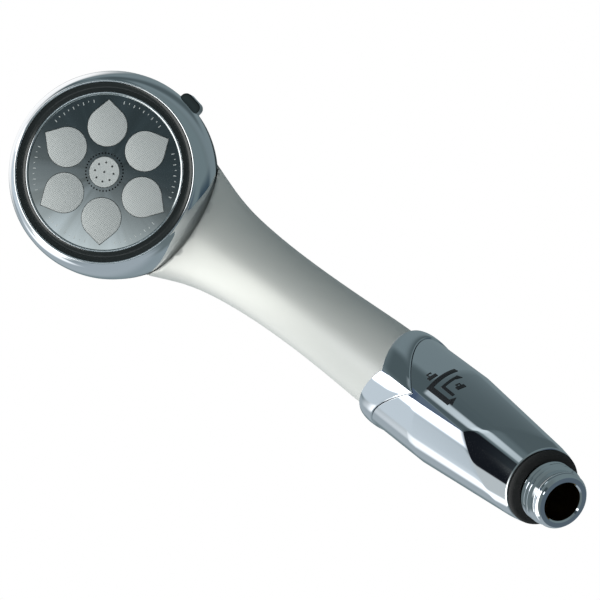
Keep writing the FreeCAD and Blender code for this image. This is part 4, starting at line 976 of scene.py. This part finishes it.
def studio_world(scene):
    """A white surround for the eye, and soft panels with dark gaps for the reflections."""
    world = bpy.data.worlds.new("studio")
    scene.world = world
    world.use_nodes = True
    tree = world.node_tree
    tree.nodes.clear()
    link = tree.links.new
    where = add_node(tree, "ShaderNodeTexCoord")
    below = add_node(tree, "ShaderNodeRGB")
    below.outputs[0].default_value = (0.15, 0.19, 0.20, 1)
    colour_out = below.outputs[0]
    for compass, half, low, high, soft, light in PANELS:
        panel = add_node(tree, "ShaderNodeGroup", node_tree=panel_group())
        turn = math.radians(compass)
        panel.inputs["Panel"].default_value = (*light, 1)
        panel.inputs["Compass"].default_value = (math.cos(turn), math.sin(turn), 0)
        if half > 180:
            panel.inputs["Side out"].default_value, panel.inputs["Side in"].default_value = -3, -2
        else:
            panel.inputs["Side out"].default_value = math.cos(math.radians(min(half + soft, 180)))
            panel.inputs["Side in"].default_value = math.cos(math.radians(max(half - soft, 0)))
        for title, angle in (("Low out", low - soft), ("Low in", low + soft), ("High in", high - soft),
                             ("High out", high + soft)):
            angle = min(max(angle, -90), 90)
            panel.inputs[title].default_value = math.sin(math.radians(angle))
        if low < -90:
            panel.inputs["Low out"].default_value, panel.inputs["Low in"].default_value = -3, -2
        if high > 90:
            panel.inputs["High in"].default_value, panel.inputs["High out"].default_value = 2, 3
        link(where.outputs["Generated"], panel.inputs["View"])
        link(colour_out, panel.inputs["Below"])
        colour_out = panel.outputs["Color"]
    out = add_node(tree, "ShaderNodeOutputWorld")
    seen = add_node(tree, "ShaderNodeBackground")
    seen.inputs["Color"].default_value = (1, 1, 1, 1)
    lit = add_node(tree, "ShaderNodeBackground")
    path = add_node(tree, "ShaderNodeLightPath")
    mix = add_node(tree, "ShaderNodeMixShader")
    link(colour_out, lit.inputs["Color"])
    link(path.outputs["Is Camera Ray"], mix.inputs["Fac"])
    link(lit.outputs[0], mix.inputs[1])
    link(seen.outputs[0], mix.inputs[2])
    link(mix.outputs[0], out.inputs["Surface"])


# Panel ------------------------------------------------------------------------------------------------------------

STEPS = (SHOWER_OT_bezel, SHOWER_OT_face, SHOWER_OT_selector, SHOWER_OT_handle, SHOWER_OT_grip, SHOWER_OT_nose,
         SHOWER_OT_inside, SHOWER_OT_stage)


class SHOWER_PT_panel(bpy.types.Panel):
    """The build steps and the sizes."""
    bl_label = "Shower head"
    bl_idname = "SHOWER_PT_panel"
    bl_space_type = "VIEW_3D"
    bl_region_type = "UI"
    bl_category = "Shower"

    def draw(self, context):
        column = self.layout.column(align=True)
        for step in STEPS:
            column.operator(step.bl_idname)
        for group in (context.scene.shower_head_sizes, context.scene.shower_grip_sizes,
                      context.scene.shower_finishes):
            box = self.layout.box()
            for key in group.__annotations__:
                box.prop(group, key)


CLASSES = (ShowerHeadSizes, ShowerGripSizes, ShowerFinishes, *STEPS, SHOWER_PT_panel)


def register():
    for item in CLASSES:
        bpy.utils.register_class(item)
    bpy.types.Scene.shower_head_sizes = bpy.props.PointerProperty(type=ShowerHeadSizes)
    bpy.types.Scene.shower_grip_sizes = bpy.props.PointerProperty(type=ShowerGripSizes)
    bpy.types.Scene.shower_finishes = bpy.props.PointerProperty(type=ShowerFinishes)


def unregister():
    del bpy.types.Scene.shower_finishes
    del bpy.types.Scene.shower_grip_sizes
    del bpy.types.Scene.shower_head_sizes
    for item in reversed(CLASSES):
        bpy.utils.unregister_class(item)


def main():
    register()
    for step in STEPS:
        group, action = step.bl_idname.split(".")
        getattr(getattr(bpy.ops, group), action)()


if __name__ == "__main__":
    main()
